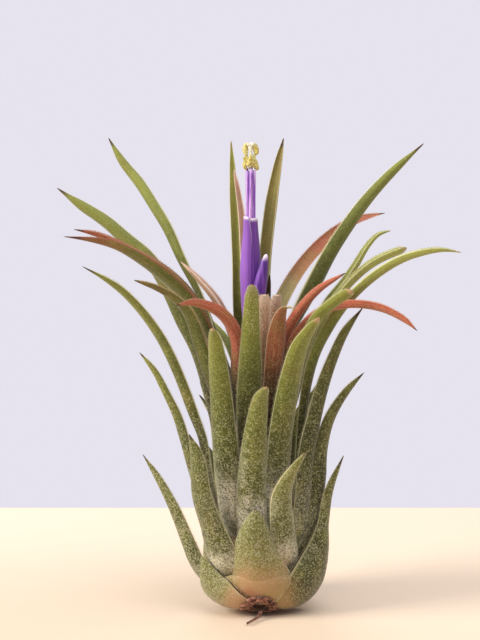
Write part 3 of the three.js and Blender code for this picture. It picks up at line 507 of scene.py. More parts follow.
# each leaf: its solid, finish, side it faces, then the place of its midrib and its half width at
# each knot from the foot to the tip (millimetres and degrees), from the inmost to the outermost
leaves = [
    leafRow("upright_leaf_pink", "pink", 105, [
        (-0.6, 1.6, 42, 1), (-2, 3, 54, 1), (-2.6, 3.4, 62, 0.8), (-3.4, 4, 79, 0.7),
        (-4.8, 4, 88, 0.35)]),
    leafRow("pink_leaf_left", "pink", 275, [
        (0.4, -1.4, 36, 1.4), (0.8, -4.6, 45, 1.5), (0.9, -6, 52, 1.5), (0.9, -7.8, 59, 1.5),
        (1.2, -10.2, 64.6, 1.25)], **broad, fuzz=2.2, roundFrom=0.9),
    leafRow("pink_leaf_right", "pink", 300, [
        (0.8, -0.8, 38, 1.2), (2.6, -1.6, 48, 1.3), (3.1, -2.8, 57, 1.5), (3.7, -5.4, 63.9, 1.35)],
        **broad, fuzz=2.2, roundFrom=0.9),
    leafRow("upright_leaf_left", "lime", 100, [
        (-1.2, 1.4, 38, 1.2), (-2.8, 3, 50, 1.2), (-4, 4.2, 58, 1), (-4.4, 5, 70, 0.9),
        (-4.9, 5.6, 82, 0.9), (-5.4, 6, 93.6, 0.35)]),
    leafRow("upright_leaf_right", "dusk", 75, [
        (0.4, 1.6, 38, 1.5), (0.8, 3.6, 48, 1.5), (1, 5, 57.5, 1.4), (1.6, 6.2, 70, 1.3),
        (2.8, 7.2, 80.6, 1.3), (4, 7.8, 88, 0.9), (5.2, 8, 94, 0.3)]),
    leafRow("strap_right_short", "red", 310, [
        (1.2, -1.2, 34, 2.2), (2.8, -3.8, 44, 2.1), (4, -5, 50.5, 1.7), (6.4, -7.2, 58, 1.25),
        (11.2, -10.6, 65, 0.95), (16.8, -13.6, 69.2, 0.35)], curl=82, roll=-35),
    leafRow("strap_left", "red", 235, [
        (-1.4, -1.6, 34, 2.2), (-3, -4.6, 41, 2), (-4.2, -6, 47, 1.7), (-4.1, -6.9, 52, 1.55),
        (-4.3, -7.8, 55.1, 1.45), (-5.8, -9.2, 58.9, 1.45), (-8.6, -11.2, 61.7, 1.35),
        (-12.8, -13.6, 63.3, 1.1), (-16, -15.6, 63.1, 0.35)], curl=82, roll=40),
    leafRow("leaf_left_thin", "pink", 165, [
        (-1.4, 0.4, 34, 1.3), (-3.4, 0.4, 46, 1.3), (-4.5, 0.4, 53, 1.3), (-8, 0.8, 61.3, 1.25),
        (-11.6, 1.6, 65.8, 0.95), (-15.5, 2, 69.6, 0.3)]),
    leafRow("leaf_right_pink", "rose", 90, [
        (0.8, 1.8, 34, 1.4), (1.6, 3.4, 46, 1.5), (2.4, 4.4, 53, 1.6), (3.8, 5.6, 59, 1.6),
        (6.4, 7.4, 64.2, 1.5), (9.8, 9.6, 68.9, 1.4), (14.2, 12, 73.1, 1.35), (18.6, 14, 75.9, 1.2),
        (22.4, 15.6, 77.2, 0.9), (26.4, 17, 78, 0.3)], curl=64),
    leafRow("strap_right", "red", 330, [
        (1.8, -1.2, 30, 2.5), (4, -4, 42, 2.5), (5.6, -5.6, 50, 2.2), (8.6, -7.2, 56.5, 2),
        (12.6, -8.8, 60.9, 1.5), (17.4, -10.2, 62.5, 1.4), (23.5, -11.8, 62.1, 1.4),
        (28, -13, 60.1, 1.1), (30.8, -14, 57.9, 0.3)], curl=82, roll=-45),
    leafRow("broad_leaf_right", "redBrown", 300, [
        (1.2, -2, 32, 2), (2.8, -5.8, 42, 2.3), (3.4, -7.8, 50, 2.4), (3.9, -9, 56.2, 2.3),
        (4.4, -10.2, 60.2, 1.5), (5.3, -11.4, 62.1, 0.7), (6.7, -12, 62.1, 0.3)], curl=70),
    leafRow("leaf_right_high", "green", 24, [
        (1.6, 1.2, 30, 1.9), (3.6, 2.4, 44, 2.1), (5, 3.6, 52.4, 2.5), (7.6, 4.6, 57.8, 2.6),
        (11.2, 6, 64.2, 2.3), (14.9, 8, 70.8, 1.9), (18.9, 10, 76.6, 1.6), (22.8, 11.8, 81.6, 1.3),
        (27.9, 13.2, 87, 0.95), (34, 14, 92.6, 0.3)], roll=-90),
    leafRow("leaf_left_reddish_back", "redBack", 175, [
        (-1.8, 0.2, 30, 1.4), (-5, 0.4, 44, 1.4), (-8, 0.6, 51.6, 1.3), (-10.6, 1, 58.2, 1.2),
        (-13.6, 1.4, 63.4, 1.1), (-18.6, 1.4, 68.2, 1.1), (-23.6, 1, 71.2, 1),
        (-28.6, 0.4, 73.8, 1), (-32.4, -0.2, 75.4, 0.8), (-36.6, -1, 76.4, 0.3)]),
    leafRow("leaf_right_thin", "lime", 20, [
        (2, 1, 26, 1.6), (5, 2, 40, 1.5), (8, 2.8, 49.5, 1.4), (11.2, 3.6, 56, 1.3),
        (14.4, 4.6, 61.2, 1.2), (17.5, 5.4, 65, 1.1), (20, 6.4, 68.6, 1), (22.1, 7.2, 72, 0.8),
        (24.4, 8, 74.4, 0.6), (27, 8.6, 75.2, 0.35)]),
    leafRow("leaf_left_high", "fresh", 155, [
        (-1.6, 1.4, 30, 2), (-5.2, 2.8, 44, 1.9), (-9, 4.2, 55.4, 1.7), (-11.6, 6, 62, 1.6),
        (-15.6, 8.4, 69.4, 1.55), (-18.4, 10.4, 75.2, 1.5), (-21.2, 12.2, 79.6, 1.4),
        (-24.4, 14, 84.4, 1.25), (-27.8, 15.2, 88.6, 0.95), (-30.6, 16, 93.6, 0.3)], curl=96,
        roll=90),
    leafRow("leaf_left_reddish", "redEdge", 190, [
        (-1.8, -0.8, 28, 2.2), (-4.8, -1.4, 40, 2.3), (-7.8, -2, 47.8, 2.4), (-10.3, -2.6, 56, 2.5),
        (-13.6, -3.2, 62, 2.6), (-16.3, -3.8, 65, 2.6), (-19.5, -4.6, 68, 2.4),
        (-22.9, -5.3, 70.6, 2), (-27.2, -6, 73.2, 1.5), (-31.4, -6.8, 74.6, 1.1),
        (-38.2, -8, 75.7, 0.3)], curl=76, roll=35),
    leafRow("leaf_right_blunt", "lime", 5, [
        (2.4, 0.2, 24, 1.9), (6, 0.2, 36, 1.7), (9, 0.2, 47.5, 1.5), (12, 0.4, 55.6, 1.4),
        (15.6, 1.2, 62, 1.35), (19.6, 2, 66.6, 1.3), (24, 3, 69.8, 1.3), (30, 4, 72.2, 1.2)],
        blunt=True, roundFrom=0.985),
    leafRow("front_leaf_middle_tall", "front", 270, [
        (-0.4, -2.6, 24, 2.4), (-1.6, -7.4, 33, 2.6), (-1.9, -8.8, 43, 2.5), (-1.6, -9.6, 50, 2.4),
        (-1.5, -11, 57, 1.9), (-1.3, -14, 64.5, 1.4), (-1.3, -18, 67.5, 0.5)], **broad,
        fuzz=1.4),
    leafRow("leaf_right_inner", "front", 305, [
        (1.8, -2.2, 24, 1.8), (5, -6, 36, 1.7), (7.4, -8, 47.2, 1.5), (9.2, -9.6, 54.2, 1.4),
        (11.4, -11.2, 59.8, 1.4), (14.4, -13, 63, 1.35), (18.2, -15, 66, 1.2)], curl=70, roll=-35,
        blunt=True),
    leafRow("leaf_left_upper", "green", 172, [
        (-2.4, 0.4, 18, 2), (-6.8, 0.9, 28, 2), (-9.2, 1.4, 38, 2), (-10.7, 2, 45, 2),
        (-12.6, 3, 51.6, 2), (-15.5, 4.4, 57.4, 1.9), (-18.5, 6, 63.8, 1.8),
        (-22.1, 7.4, 69.4, 1.7), (-27.1, 9, 73.4, 1.6), (-31.1, 10.2, 76.8, 1.4),
        (-36.1, 11.4, 80, 1.1), (-41, 12.4, 83.6, 0.3)], roll=70),
    leafRow("leaf_left_brown_tip", "brownGreen", 205, [
        (-2, -1.4, 24, 2.4), (-5.6, -3.8, 35, 2.4), (-8.6, -5, 44, 2.2), (-11.6, -6.6, 54, 1.9),
        (-13.6, -7.6, 60, 1.6), (-16.1, -9, 63.4, 1.25), (-20, -10.6, 66, 0.95),
        (-24.2, -12, 67.6, 0.5)]),
    leafRow("leaf_right_long", "lime", 338, [
        (2.8, -1.2, 12, 2.6), (7.8, -3.2, 21, 2.4), (8.6, -3.8, 31, 2.1), (9, -4, 38.6, 1.9),
        (9.8, -4.4, 45.6, 1.7), (11.4, -5, 52.2, 1.7), (14.2, -6, 58, 1.6), (17, -7.2, 62.3, 1.5),
        (20, -8.4, 65.7, 1.4), (23.4, -9.8, 68.8, 1.4), (27.6, -11.4, 71.6, 1.3),
        (31.6, -12.8, 73.1, 1.1), (35.4, -13.6, 73.7, 0.7), (39.2, -14, 73.2, 0.3)]),
    leafRow("leaf_left_long", "green", 196, [
        (-2.6, -1.6, 12, 2.8), (-8, -3.4, 20, 2.6), (-10.4, -4, 29.4, 2), (-11.1, -4.4, 34.7, 1.7),
        (-12.9, -5, 39.9, 1.6), (-14.9, -5.8, 45.7, 1.5), (-17.1, -6.8, 51.3, 1.5),
        (-19.7, -8, 56.5, 1.45), (-23.5, -10, 62.1, 1.3), (-27.9, -12, 66.7, 1.1),
        (-34.2, -14, 70.6, 0.3)]),
    leafRow("front_leaf_right_tall", "front", 290, [
        (2, -3.4, 12, 3), (3.6, -8.6, 19, 3.2), (4, -9.8, 28, 2.7), (4.6, -11, 36.5, 2.6),
        (5.6, -12, 43.5, 2.5), (6.6, -13, 49, 2.3), (8.2, -15.4, 55.2, 2), (11.6, -20, 61.5, 0.9)],
        **broad),
    leafRow("front_leaf_left_tall", "front", 250, [
        (-0.8, -3, 12, 3), (-4.4, -8.4, 18, 3.4), (-5.8, -9.4, 26, 3.1), (-6.8, -10.2, 35, 2.8),
        (-7.4, -11.4, 43, 2.5), (-8, -13.2, 50.5, 2.1), (-8.5, -15.4, 56, 1.5),
        (-8.9, -17.6, 59, 0.5)], **broad),
    leafRow("leaf_right_middle", "shade", 324, [
        (3, -2.6, 8, 2.8), (8, -7, 15, 3), (9.2, -7.8, 23, 2.5), (9.8, -7.4, 32, 2.1),
        (11.2, -7, 39, 1.8), (13, -7, 46.2, 1.6), (15.1, -7.4, 52.2, 1.3), (17.2, -8, 57, 1.1),
        (20.6, -9, 62, 0.3)]),
    leafRow("front_leaf_middle", "front", 268, [
        (0.4, -4, 9, 3), (-0.8, -10, 15, 3.4), (-1.4, -11.6, 23.5, 3.2), (-1, -12.8, 33, 2.7),
        (-0.2, -14.6, 41, 2), (0.4, -16.8, 45, 1.5), (1.5, -20, 48, 0.5)], **broad),
    leafRow("leaf_left_inner_low", "green", 200, [
        (-3, -1.8, 8, 3.2), (-10, -4.6, 18, 2.8), (-12.6, -5, 27, 2.1), (-14.8, -4.8, 35, 1.4),
        (-16.2, -4.6, 39.5, 1.3), (-18.3, -4.4, 44, 1.1), (-20.7, -4.2, 48.6, 0.9),
        (-23.6, -4, 52.2, 0.3)]),
    leafRow("leaf_right_low_slim", "shade", 332, [
        (3.4, -1.4, 5, 3.2), (9.6, -4.8, 12, 3.5), (11.4, -5.6, 20, 2.8), (12.2, -5.8, 27, 2.1),
        (12.7, -6, 33, 1.7), (14.2, -6, 39, 1.5), (17.4, -6, 44.5, 1.1), (21, -6, 48.5, 0.35)]),
    leafRow("front_leaf_left_short", "mossy", 236, [
        (-1.6, -3.4, 4, 3.4), (-6.4, -9, 8.5, 4), (-8, -10.6, 13.5, 4), (-9.4, -11.2, 18, 3.1),
        (-11.4, -12.2, 24.5, 2.6), (-12.2, -13.8, 33, 1.8), (-13.5, -16, 38, 0.4)], curl=70),
    leafRow("front_leaf_right_short", "green", 295, [
        (2.4, -3.6, 5, 3), (5, -9.9, 11, 3.8), (5, -11.7, 18, 2.8), (4.8, -12.8, 24.5, 2.4),
        (6, -14.8, 28.8, 1.7), (9.5, -19, 35.5, 0.4)], curl=70),
    leafRow("leaf_left_low", "mossy", 208, [
        (-2.8, -1.6, 3, 3), (-8.8, -4.8, 4.8, 3.4), (-11.2, -5.9, 7.6, 3.2), (-12.8, -6, 10.5, 2.8),
        (-14.6, -5.8, 15, 2.4), (-17, -5.6, 21, 2), (-20, -5.6, 27, 1.4), (-23, -6, 32, 0.35)],
        curl=80),
    leafRow("sheath_right", "shade", 308, [
        (2, -2.6, 1.8, 3.5), (6.6, -8.4, 2.1, 5), (10, -9.2, 6.5, 5.2), (12.2, -8.2, 12.5, 3.3),
        (13.2, -7.4, 18, 1.5), (14.2, -7, 24.5, 1.3), (17, -7, 32, 0.35)], curl=60),
    leafRow("sheath_front", "sheath", 268, [
        (0.8, -4, 1.4, 5.5), (1, -9.2, 2.6, 6.6), (0.6, -11.2, 6.5, 6.6), (-0.3, -12.6, 11, 5.4),
        (-0.8, -13.2, 15.5, 4), (-0.7, -13.7, 19, 2.7), (-0.4, -14.2, 22.4, 0.9)], curl=70,
        blunt=True),
    leafRow("sheath_left", "sheath", 228, [
        (-0.4, -3.4, 2.2, 4), (-5.2, -8.9, 2.6, 5.6), (-9, -9.4, 5.6, 4.6), (-11.4, -8.6, 12, 0.5)],
        curl=60),
]


def joined(name, pieces):
    selectOnly(*pieces)
    bpy.ops.object.join()
    piece = bpy.context.object
    piece.name = name
    return piece


# far side leaves: side, turn of the tip, foot height, lift off the stem, reach, top, half width
farLeaves = [
    (66, -6, 28, 0.4, 24, 61, 1.6), (94, 8, 29, 0.6, 25, 60, 1.7), (122, 6, 28, 0.4, 24, 59, 1.6),
    (78, -8, 20, 0.8, 34, 52, 2.1), (108, 10, 20, 0.8, 33, 50, 2.1), (56, -5, 12, 0.9, 24, 44, 2.4),
    (93, 6, 11, 1.1, 31, 40, 2.6), (133, 5, 12, 0.9, 17, 41, 2.4), (14, 4, 13, 0.9, 13, 46, 2.8),
    (166, -4, 13, 0.9, 13, 45, 2.8), (8, 6, 5, 0.9, 12.5, 24, 4.2), (40, 6, 3, 2.1, 20, 33, 4.4),
    (74, -6, 3, 0.9, 27, 30, 4.6), (106, 6, 3, 2.1, 25, 33, 4.6), (138, -6, 3, 0.9, 16, 30, 4.4),
    (170, 0, 4, 1.0, 10.6, 21, 4.2),
]

# stem: sideways shift, height and radius of each ring from the foot to the heart
stem = dict(sides=28, rings=[
    (0.8, 0, 5.2), (0.8, 1.5, 6.6), (0.8, 5, 8.2), (0.8, 12, 8.6), (0.7, 20, 7.4), (0.4, 30, 5.4),
    (-0.2, 38, 4.0), (-0.6, 43, 2.8), (-0.9, 46, 1.6),
])


def stemRadiusAt(height):
    rings = stem["rings"]
    for (_, low, lowRadius), (_, high, highRadius) in zip(rings, rings[1:]):
        if height <= high:
            return lowRadius + (highRadius - lowRadius) * (height - low) / (high - low)
    return rings[-1][2]


def farLeaf(index, row):
    # clasps the stem for a third of its rise and then arches outwards
    facing, turn, foot, lift, reach, top, wide = row
    rise = top - foot
    clasp = stemRadiusAt(foot + 0.3 * rise) + lift + 0.6
    outline = [
        (2.5, foot, 0), (stemRadiusAt(foot + 1.5) + lift, foot + 1.5, 0),
        (clasp, foot + 0.3 * rise, 0.1), (clasp + 0.12 * (reach - clasp), foot + 0.55 * rise, 0.3),
        (clasp + 0.4 * (reach - clasp), foot + 0.8 * rise, 0.6), (reach, top, 1),
    ]
    knots = []
    for (r, z, share), half in zip(outline, [wide * k for k in (0.8, 1, 1, 0.85, 0.62)] + [0.35]):
        angle = math.radians(facing + turn * share)
        knots.append((0.6 + r * math.cos(angle), r * math.sin(angle), z, half))
    finish = "green" if foot > 6 else "sheath"
    return leafRow(f"far_leaf_{index + 1}", finish, facing, knots, curl=84)


# the slot name of each leaf that isn't green
slots = {
    "leaf_red": ["strap_left", "strap_right", "strap_right_short", "leaf_left_reddish",
                 "leaf_left_reddish_back", "leaf_left_thin", "broad_leaf_right"],
    "leaf_pink": ["leaf_right_pink", "pink_leaf_left", "pink_leaf_right", "upright_leaf_pink"],
    "leaf_sheath": ["sheath_front", "sheath_left", "sheath_right"],
}


def slotOf(node):
    return next((slot for slot, names in slots.items() if node in names), "leaf_green")


leaves += [farLeaf(index, row) for index, row in enumerate(farLeaves)]
blades = {}
for leaf in leaves:
    piece = joined(leaf["node"], [makeBlade(leaf), flakeFringe(leaf)])
    blades[leaf["node"]] = piece
    dress(piece, bladeFinishes[leaf["finish"]], slotOf(leaf["node"]), leaf["node"])
print("blades made:", len(leaves))


def turnedBody(name, rings, sides):
    # a circle is drawn out ring by ring, and both ends are closed
    x, y, z, r = [value * mm for value in rings[0]]
    piece = fresh(bpy.ops.mesh.primitive_circle_add, vertices=sides, radius=r,
                  location=(x, y, z), fill_type="NGON")
    piece.name = name
    bpy.ops.object.transform_apply()
    bpy.ops.object.mode_set(mode="EDIT")
    for before, after in zip(rings, rings[1:]):
        step = [(b - a) * mm for a, b in zip(before[:3], after[:3])]
        centre = [value * mm for value in after[:3]]
        grow = after[3] / before[3]
        bpy.ops.mesh.extrude_region_move(TRANSFORM_OT_translate={"value": step})
        bpy.ops.transform.resize(value=(grow, grow, 1), center_override=centre)
    mended()
    return softened(piece)


def barkFinish():
    f = Finish("stem_bark", Specular_IOR_Level=0.25)
    grain = f.noise(f.place(), 700.0, 5.0, 0.7)
    tan = f.mix(f.ease(grain, 0.35, 0.65), tint("8C6F52"), tint("BFA381"))
    return f.done(tan, 0.85, grain, 0.6, 0.0003)


# smooth skin round the root scar: a lens that leans with the bulb and bends round it
skin = dict(middle=(0.5, -10.75, 5.1), wide=8.0, tall=4.8, thick=2.0, lean=33, bend=18.0, rise=20.0)


def makeSkin():
    # a ball pressed flat, leaned over and bowed round the bulb
    piece = fresh(bpy.ops.mesh.primitive_uv_sphere_add, segments=56, ring_count=36, radius=mm)
    bpy.ops.transform.resize(value=(skin["wide"], skin["thick"], skin["tall"]))
    bpy.ops.object.transform_apply()
    piece.rotation_euler = (math.radians(skin["lean"]), 0, 0)
    piece.location = Vector(skin["middle"]) * mm
    bpy.ops.object.transform_apply()
    for vertex in piece.data.vertices:
        across = vertex.co.x - skin["middle"][0] * mm
        vertex.co.y += across ** 2 / (2 * skin["bend"] * mm)
        vertex.co.z += across ** 2 * skin["rise"]
    layer = piece.data.uv_layers[0]
    layer.name = "blade"
    for item in layer.data:
        item.uv = (0.25, 0.2)
    finishMesh(piece)
    piece.data.materials.append(bladeFinishes["sheath"])
    return piece


core = turnedBody("core", [(x, 0, z, r) for x, z, r in stem["rings"]], stem["sides"])
core.data.materials.append(barkFinish())
core = joined("stem_base", [core, makeSkin()])
wear(core, "stem_base")
print("stem made")


def makeStrand(name, points, radius, tipRadius=None, fine=6):
    # a thin round strand along a smooth line, closed at both ends
    piece = fresh(bpy.ops.curve.primitive_bezier_curve_add)
    piece.name = name
    spline = piece.data.splines[0]
    spline.bezier_points.add(len(points) - 2)
    for share, (knot, place) in enumerate(zip(spline.bezier_points, points)):
        knot.co = Vector(place) * mm
        knot.handle_left_type = knot.handle_right_type = "AUTO"
        part = share / (len(points) - 1)
        knot.radius = 1 + ((tipRadius or radius) / radius - 1) * part
    piece.data.bevel_depth = radius * mm
    piece.data.bevel_resolution = 1
    piece.data.resolution_u = fine
    piece.data.use_fill_caps = True
    bpy.ops.object.convert(target="MESH")
    piece = bpy.context.object
    bpy.ops.object.transform_apply()
    mended(weld=2e-6)
    bpy.ops.object.shade_smooth()
    return piece


# flower: middle and radius of the petal tube at each height, side, top and outward bend of each
# petal, how far round one reaches to either side, where its mouth begins, and the filaments
flower = dict(
    tube=[(-1.1, -0.6, 46.6, 0.9), (-1.3, -0.8, 54, 1.3), (-1.5, -1.0, 61, 1.8),
          (-1.5, -1.0, 68, 2.1), (-1.5, -1.0, 73, 1.75), (-1.5, -1.0, 77, 1.3),
          (-1.5, -1.0, 80, 1.05)],
    petals=[(200, 79.2, 0.25), (318, 78.8, 0.1), (80, 78.6, 0.1)],
    halfTurn=78, wall=0.2, mouth=0.86, overlap=0.09, filaments=6, filamentRadius=0.4, ring=0.74,
    filamentFoot=66, filamentTop=88.2)


def violetFinish(name, dark, light, pale, paleFrom):
    f = Finish(name, Sheen_Weight=0.25, Specular_IOR_Level=0.4)
    uv = f.add("UVMap", {"uv_map": "blade"})
    across, along = f.axis(uv, 0), f.axis(uv, 1)
    lines = f.noise(f.stretched(uv, 22.0, 1.4, 1.0), 1.0, 2.0)
    body = f.mix(f.ease(lines, 0.3, 0.7), tint(dark), tint(light))

    # painted light on the side towards the window and painted shade on the other side, with a white
    # mouth
    aside = f.axis(f.place(), 0) * 1000.0
    body = f.over(body, f.ease(aside, -1.2, -3.2) * 0.6, "A86EDC")
    body = f.over(body, f.ease(aside, -1.6, 0.2) * 0.55, "461A70")
    edge = abs(across * 2.0 - 1.0)
    body = f.over(body, f.ease(edge, 0.9, 1.0) * f.ease(along, 0.75, 0.95) * 0.7, pale)
    body = f.over(body, f.ease(along, paleFrom, paleFrom + 0.03), pale)
    return f.done(body, 0.45, lines, 0.4, 0.00015)


def linedFinish(name, dark, light, whiteFrom, whiteTo):
    # lines that run upwards, and white above the second of two heights in millimetres
    f = Finish(name, Sheen_Weight=0.25, Specular_IOR_Level=0.4)
    place = f.place()
    height = f.axis(place, 2) * 1000.0
    lines = f.noise(f.stretched(place, 1.0, 1.0, 0.08), 1500.0, 2.0)
    body = f.mix(f.ease(lines, 0.35, 0.65), tint(dark), tint(light))
    body = f.over(body, f.ease(height, whiteFrom, whiteTo), "EADCF2")
    return f.done(body, 0.45, lines, 0.4, 0.00015)


def makePetal(facing, top, lean):
    # a strip rolled about the middle of the tube, one margin over its neighbour's
    piece = fresh(bpy.ops.mesh.primitive_grid_add, x_subdivisions=12, y_subdivisions=30, size=1)
    piece.data.uv_layers[0].name = "blade"
    low = flower["tube"][0][2]
    heights = [ring[2] for ring in flower["tube"]]
    for vertex in piece.data.vertices:
        across, share = vertex.co.x * 2, vertex.co.y + 0.5
        z = low + (top - low) * share
        ring = [between([r[k] for r in flower["tube"]], shareOf(heights, z)) for k in (0, 1, 3)]
        late = max(0.0, (share - flower["mouth"]) / 0.14)
        half = flower["halfTurn"] * (1 - 0.3 * late * late)
        angle = math.radians(facing + across * half)
        out = ring[2] + flower["overlap"] * across + lean * late * late
        vertex.co = Vector((ring[0] + out * math.cos(angle), ring[1] + out * math.sin(angle),
                            z - 0.5 * lean * late ** 3)) * mm
    wall = piece.modifiers.new("wall", "SOLIDIFY")
    wall.thickness = flower["wall"] * mm
    wall.offset = 0
    return softened(piece)


petals = joined("flower_petals", [makePetal(*row) for row in flower["petals"]])
dress(petals, violetFinish("petal_violet", "4E2480", "8A4CBE", "EFE3F2", 0.97), "petal",
      "flower_petals")


def plainFinish(name, dark, light, scale, rough=0.6, strength=0.4):
    f = Finish(name, Sheen_Weight=0.2, Specular_IOR_Level=0.3)
    grain = f.noise(f.place(), scale, 4.0, 0.65)
    body = f.mix(f.ease(grain, 0.35, 0.65), tint(dark), tint(light))
    return f.done(body, rough, grain, strength, 0.00015)


def aroundFlower(degrees, r, z):
    x, y = flower["tube"][3][:2]
    angle = math.radians(degrees)
    return (x + r * math.cos(angle), y + r * math.sin(angle), z)


def strandRound(name, places, radius, tipRadius):
    return makeStrand(name, [aroundFlower(*place) for place in places], radius, tipRadius)


draw = random.Random(7)
threads = []
for count in range(flower["filaments"]):
    facing = 360 * count / flower["filaments"] + 20
    top = flower["filamentTop"] + draw.uniform(-0.4, 0.7)
    ring = flower["ring"]
    places = [(facing, ring * 0.6, flower["filamentFoot"]), (facing + 4, ring, 74),
              (facing + 10, ring, 81), (facing + 16, ring * 1.08, top)]
    threads.append(strandRound("thread", places, flower["filamentRadius"], 0.3))
style = [(0, 0.0, flower["filamentFoot"]), (0, 0.0, 80), (0, 0.1, 89)]
threads.append(strandRound("thread", style, flower["filamentRadius"], 0.34))
filaments = joined("flower_filaments", threads)
dress(filaments, linedFinish("filament_violet", "8A4EC6", "DAB0F6", 87.0, 90.0), "filament",
      "flower_filaments")

# pollen sacs: side, distance from the middle, height, lean and turn of each
anthers = dict(wide=0.66, tall=1.3, places=[
    (180, 1.0, 89.4, 14, 10), (0, 0.95, 89.3, -14, 60), (80, 0.75, 89.6, 12, 130),
    (262, 0.85, 90.1, -24, 200), (215, 0.7, 89.9, 30, 240), (310, 0.75, 89.7, -32, 150),
    (172, 1.05, 92.3, -12, 320), (8, 1.0, 92.4, 14, 250),
])


def makeAnther(facing, away, z, lean, turn):
    # a ball drawn out, furrowed along one side and curled
    piece = fresh(bpy.ops.mesh.primitive_uv_sphere_add, segments=12, ring_count=10, radius=1)
    for vertex in piece.data.vertices:
        furrow = 1 - 0.45 * max(0.0, vertex.co.x) ** 3
        bow = 0.25 * (vertex.co.z ** 2)
        vertex.co = Vector((vertex.co.x * anthers["wide"] * furrow + bow,
                            vertex.co.y * anthers["wide"], vertex.co.z * anthers["tall"])) * mm
    piece.rotation_euler = (math.radians(lean), math.radians(lean * 0.6), math.radians(turn))
    piece.location = Vector(aroundFlower(facing, away, z)) * mm
    return softened(piece)


sacs = [makeAnther(*row) for row in anthers["places"]]
for facing in (172, 8):
    places = [(facing, 0.5, 90), (facing, 0.85, 91.2), (facing, 1, 92)]
    sacs.append(strandRound("link", places, 0.3, 0.26))
pollen = joined("flower_anthers", sacs)
dress(pollen, plainFinish("pollen_yellow", "AFA04A", "EAE3A0", 2600.0, 0.75, 0.8), "pollen",
      "flower_anthers")

# stigma: a short stalk that parts into three lobes
stalk = [(0, 0, 89), (0, 0.05, 91.4), (190, 0.05, 92.7)]
lobes = [strandRound("lobe", stalk, 0.34, 0.42)]
for facing in (200, 320, 80):
    places = [(190, 0.05, 92.4), (facing, 0.3, 93.1), (facing, 0.55, 93.4),
              (facing + 20, 0.6, 93.1)]
    lobes.append(strandRound("lobe", places, 0.32, 0.24))
stigma = joined("flower_stigma", lobes)
dress(stigma, plainFinish("stigma_white", "DAD6BE", "FBF9EE", 1500.0, 0.7), "stigma",
      "flower_stigma")

# second flower, still closed: middle and radius at each height
bud = dict(sides=18, rings=[
    (-0.3, -1.0, 46.6, 0.5), (-0.3, -2.6, 54, 0.9), (-0.2, -3.4, 60, 1.2), (0.3, -3.6, 65, 1.45),
    (1.0, -3.6, 69, 1.05), (1.4, -3.6, 71, 0.6), (1.6, -3.6, 71.8, 0.25)])
closedFlower = turnedBody("flower_bud", bud["rings"], bud["sides"])
dress(closedFlower, linedFinish("bud_violet", "4E2284", "7A40B2", 70.2, 71.6), "petal",
      "flower_bud")

# a bract beside the bud; its near-black brown is painted shade for the shadowed hollow behind the
# bud
dried = dict(node="dried_bract", facing=330, knots=[
    (0.6, -0.4, 42, 0.8), (1.4, -1.2, 54, 0.8), (2, -2.4, 61, 0.7), (2.3, -3.2, 67.6, 0.4)])
shadeBract = makeBlade(dried)
dress(shadeBract, plainFinish("bract_painted_shade", "20150E", "4A3222", 900.0, 0.85, 0.7), "dried",
      "dried_bract")
print("flower made")

# roots: one strand reaches the surface, the others are curled stubs in a ring round the dark scar,
# with a few that run round it: side where each of these begins and ends, and its share of the ring
roots = dict(radius=0.4, tip=0.18, hub=(0.3, -10.8, 2.4), ring=(0.4, 2.3, 3.2, 1.7), stubs=30,
             lowest=0.6, scar=(1.7, 0.7, 1.2),
             strand=[(0.3, -11, 2.0), (0.5, -12.2, 1.4), (0, -13.4, 0.8), (-1, -15.2, 0.62),
                     (-2.2, -17.6, 0.6)],
             loops=[(150, 40, 0.85), (20, -60, 0.9), (215, 150, 0.8), (130, 60, 1.25)])


def frontOf(x, z, lift):
    # the place in front of the bulb, lifted clear of the sheath that it lies on
    nearest = min((hit[1].y for hit in (
        sheath.ray_cast(Vector((x * mm, -0.05, z * mm)), Vector((0, 1, 0))) for sheath in sheaths)
        if hit[0]), default=-0.0105)
    return (x, nearest / mm - lift, z)


def makeRoots():
    strands = [makeStrand("root", roots["strand"], 0.4, 0.24, 8)]
    x, z, wide, tall = roots["ring"]
    for count in range(roots["stubs"]):
        angle = 2 * math.pi * (count + draw.uniform(-0.4, 0.4)) / roots["stubs"]
        reach = draw.uniform(0.85, 1.25)
        curl = draw.uniform(-0.5, 0.5)
        points = []
        for share, lift in ((0.5, 0.1), (0.72, 0.5), (0.9, 0.75), (1.08, 0.3)):
            turn = angle + curl * share
            low = max(roots["lowest"], z + tall * share * reach * math.sin(turn))
            points.append(frontOf(x + wide * share * reach * math.cos(turn), low,
                                  lift * draw.uniform(0.7, 1.3)))
        thick = roots["radius"] * draw.uniform(0.6, 1)
        strands.append(makeStrand("root", points, thick, roots["tip"]))
    for first, last, size in roots["loops"]:
        points = []
        for step in range(6):
            turn = math.radians(first + (last - first) * step / 5)
            low = max(roots["lowest"], z + tall * size * math.sin(turn))
            points.append(frontOf(x + wide * size * math.cos(turn), low,
                                  0.35 + 0.3 * draw.random()))
        strands.append(makeStrand("root", points, roots["radius"], roots["radius"] * 0.7))
    scar = fresh(bpy.ops.mesh.primitive_uv_sphere_add, segments=20, ring_count=12, radius=mm)
    scar.scale = roots["scar"]
    scar.location = Vector(roots["hub"]) * mm
    bpy.ops.object.transform_apply()
    bpy.ops.object.shade_smooth()
    return joined("roots", strands + [scar])


def rootFinish():
    # reddish brown, and nearly black in the middle of the scar
    f = Finish("root_brown", Sheen_Weight=0.2, Specular_IOR_Level=0.3)
    place = f.place()
    grain = f.noise(place, 1600.0, 4.0, 0.65)
    body = f.mix(f.ease(grain, 0.35, 0.65), tint("3A1E16"), tint("AE7660"))
    spot = tuple(value * mm for value in roots["hub"])
    near = f.vectors("DISTANCE", place, spot, out="Value") * 1000.0
    body = f.over(body, f.ease(near, 2.1, 1.2) * 0.85, "1C0E0A")
    return f.done(body, 0.85, grain, 0.8, 0.00015)


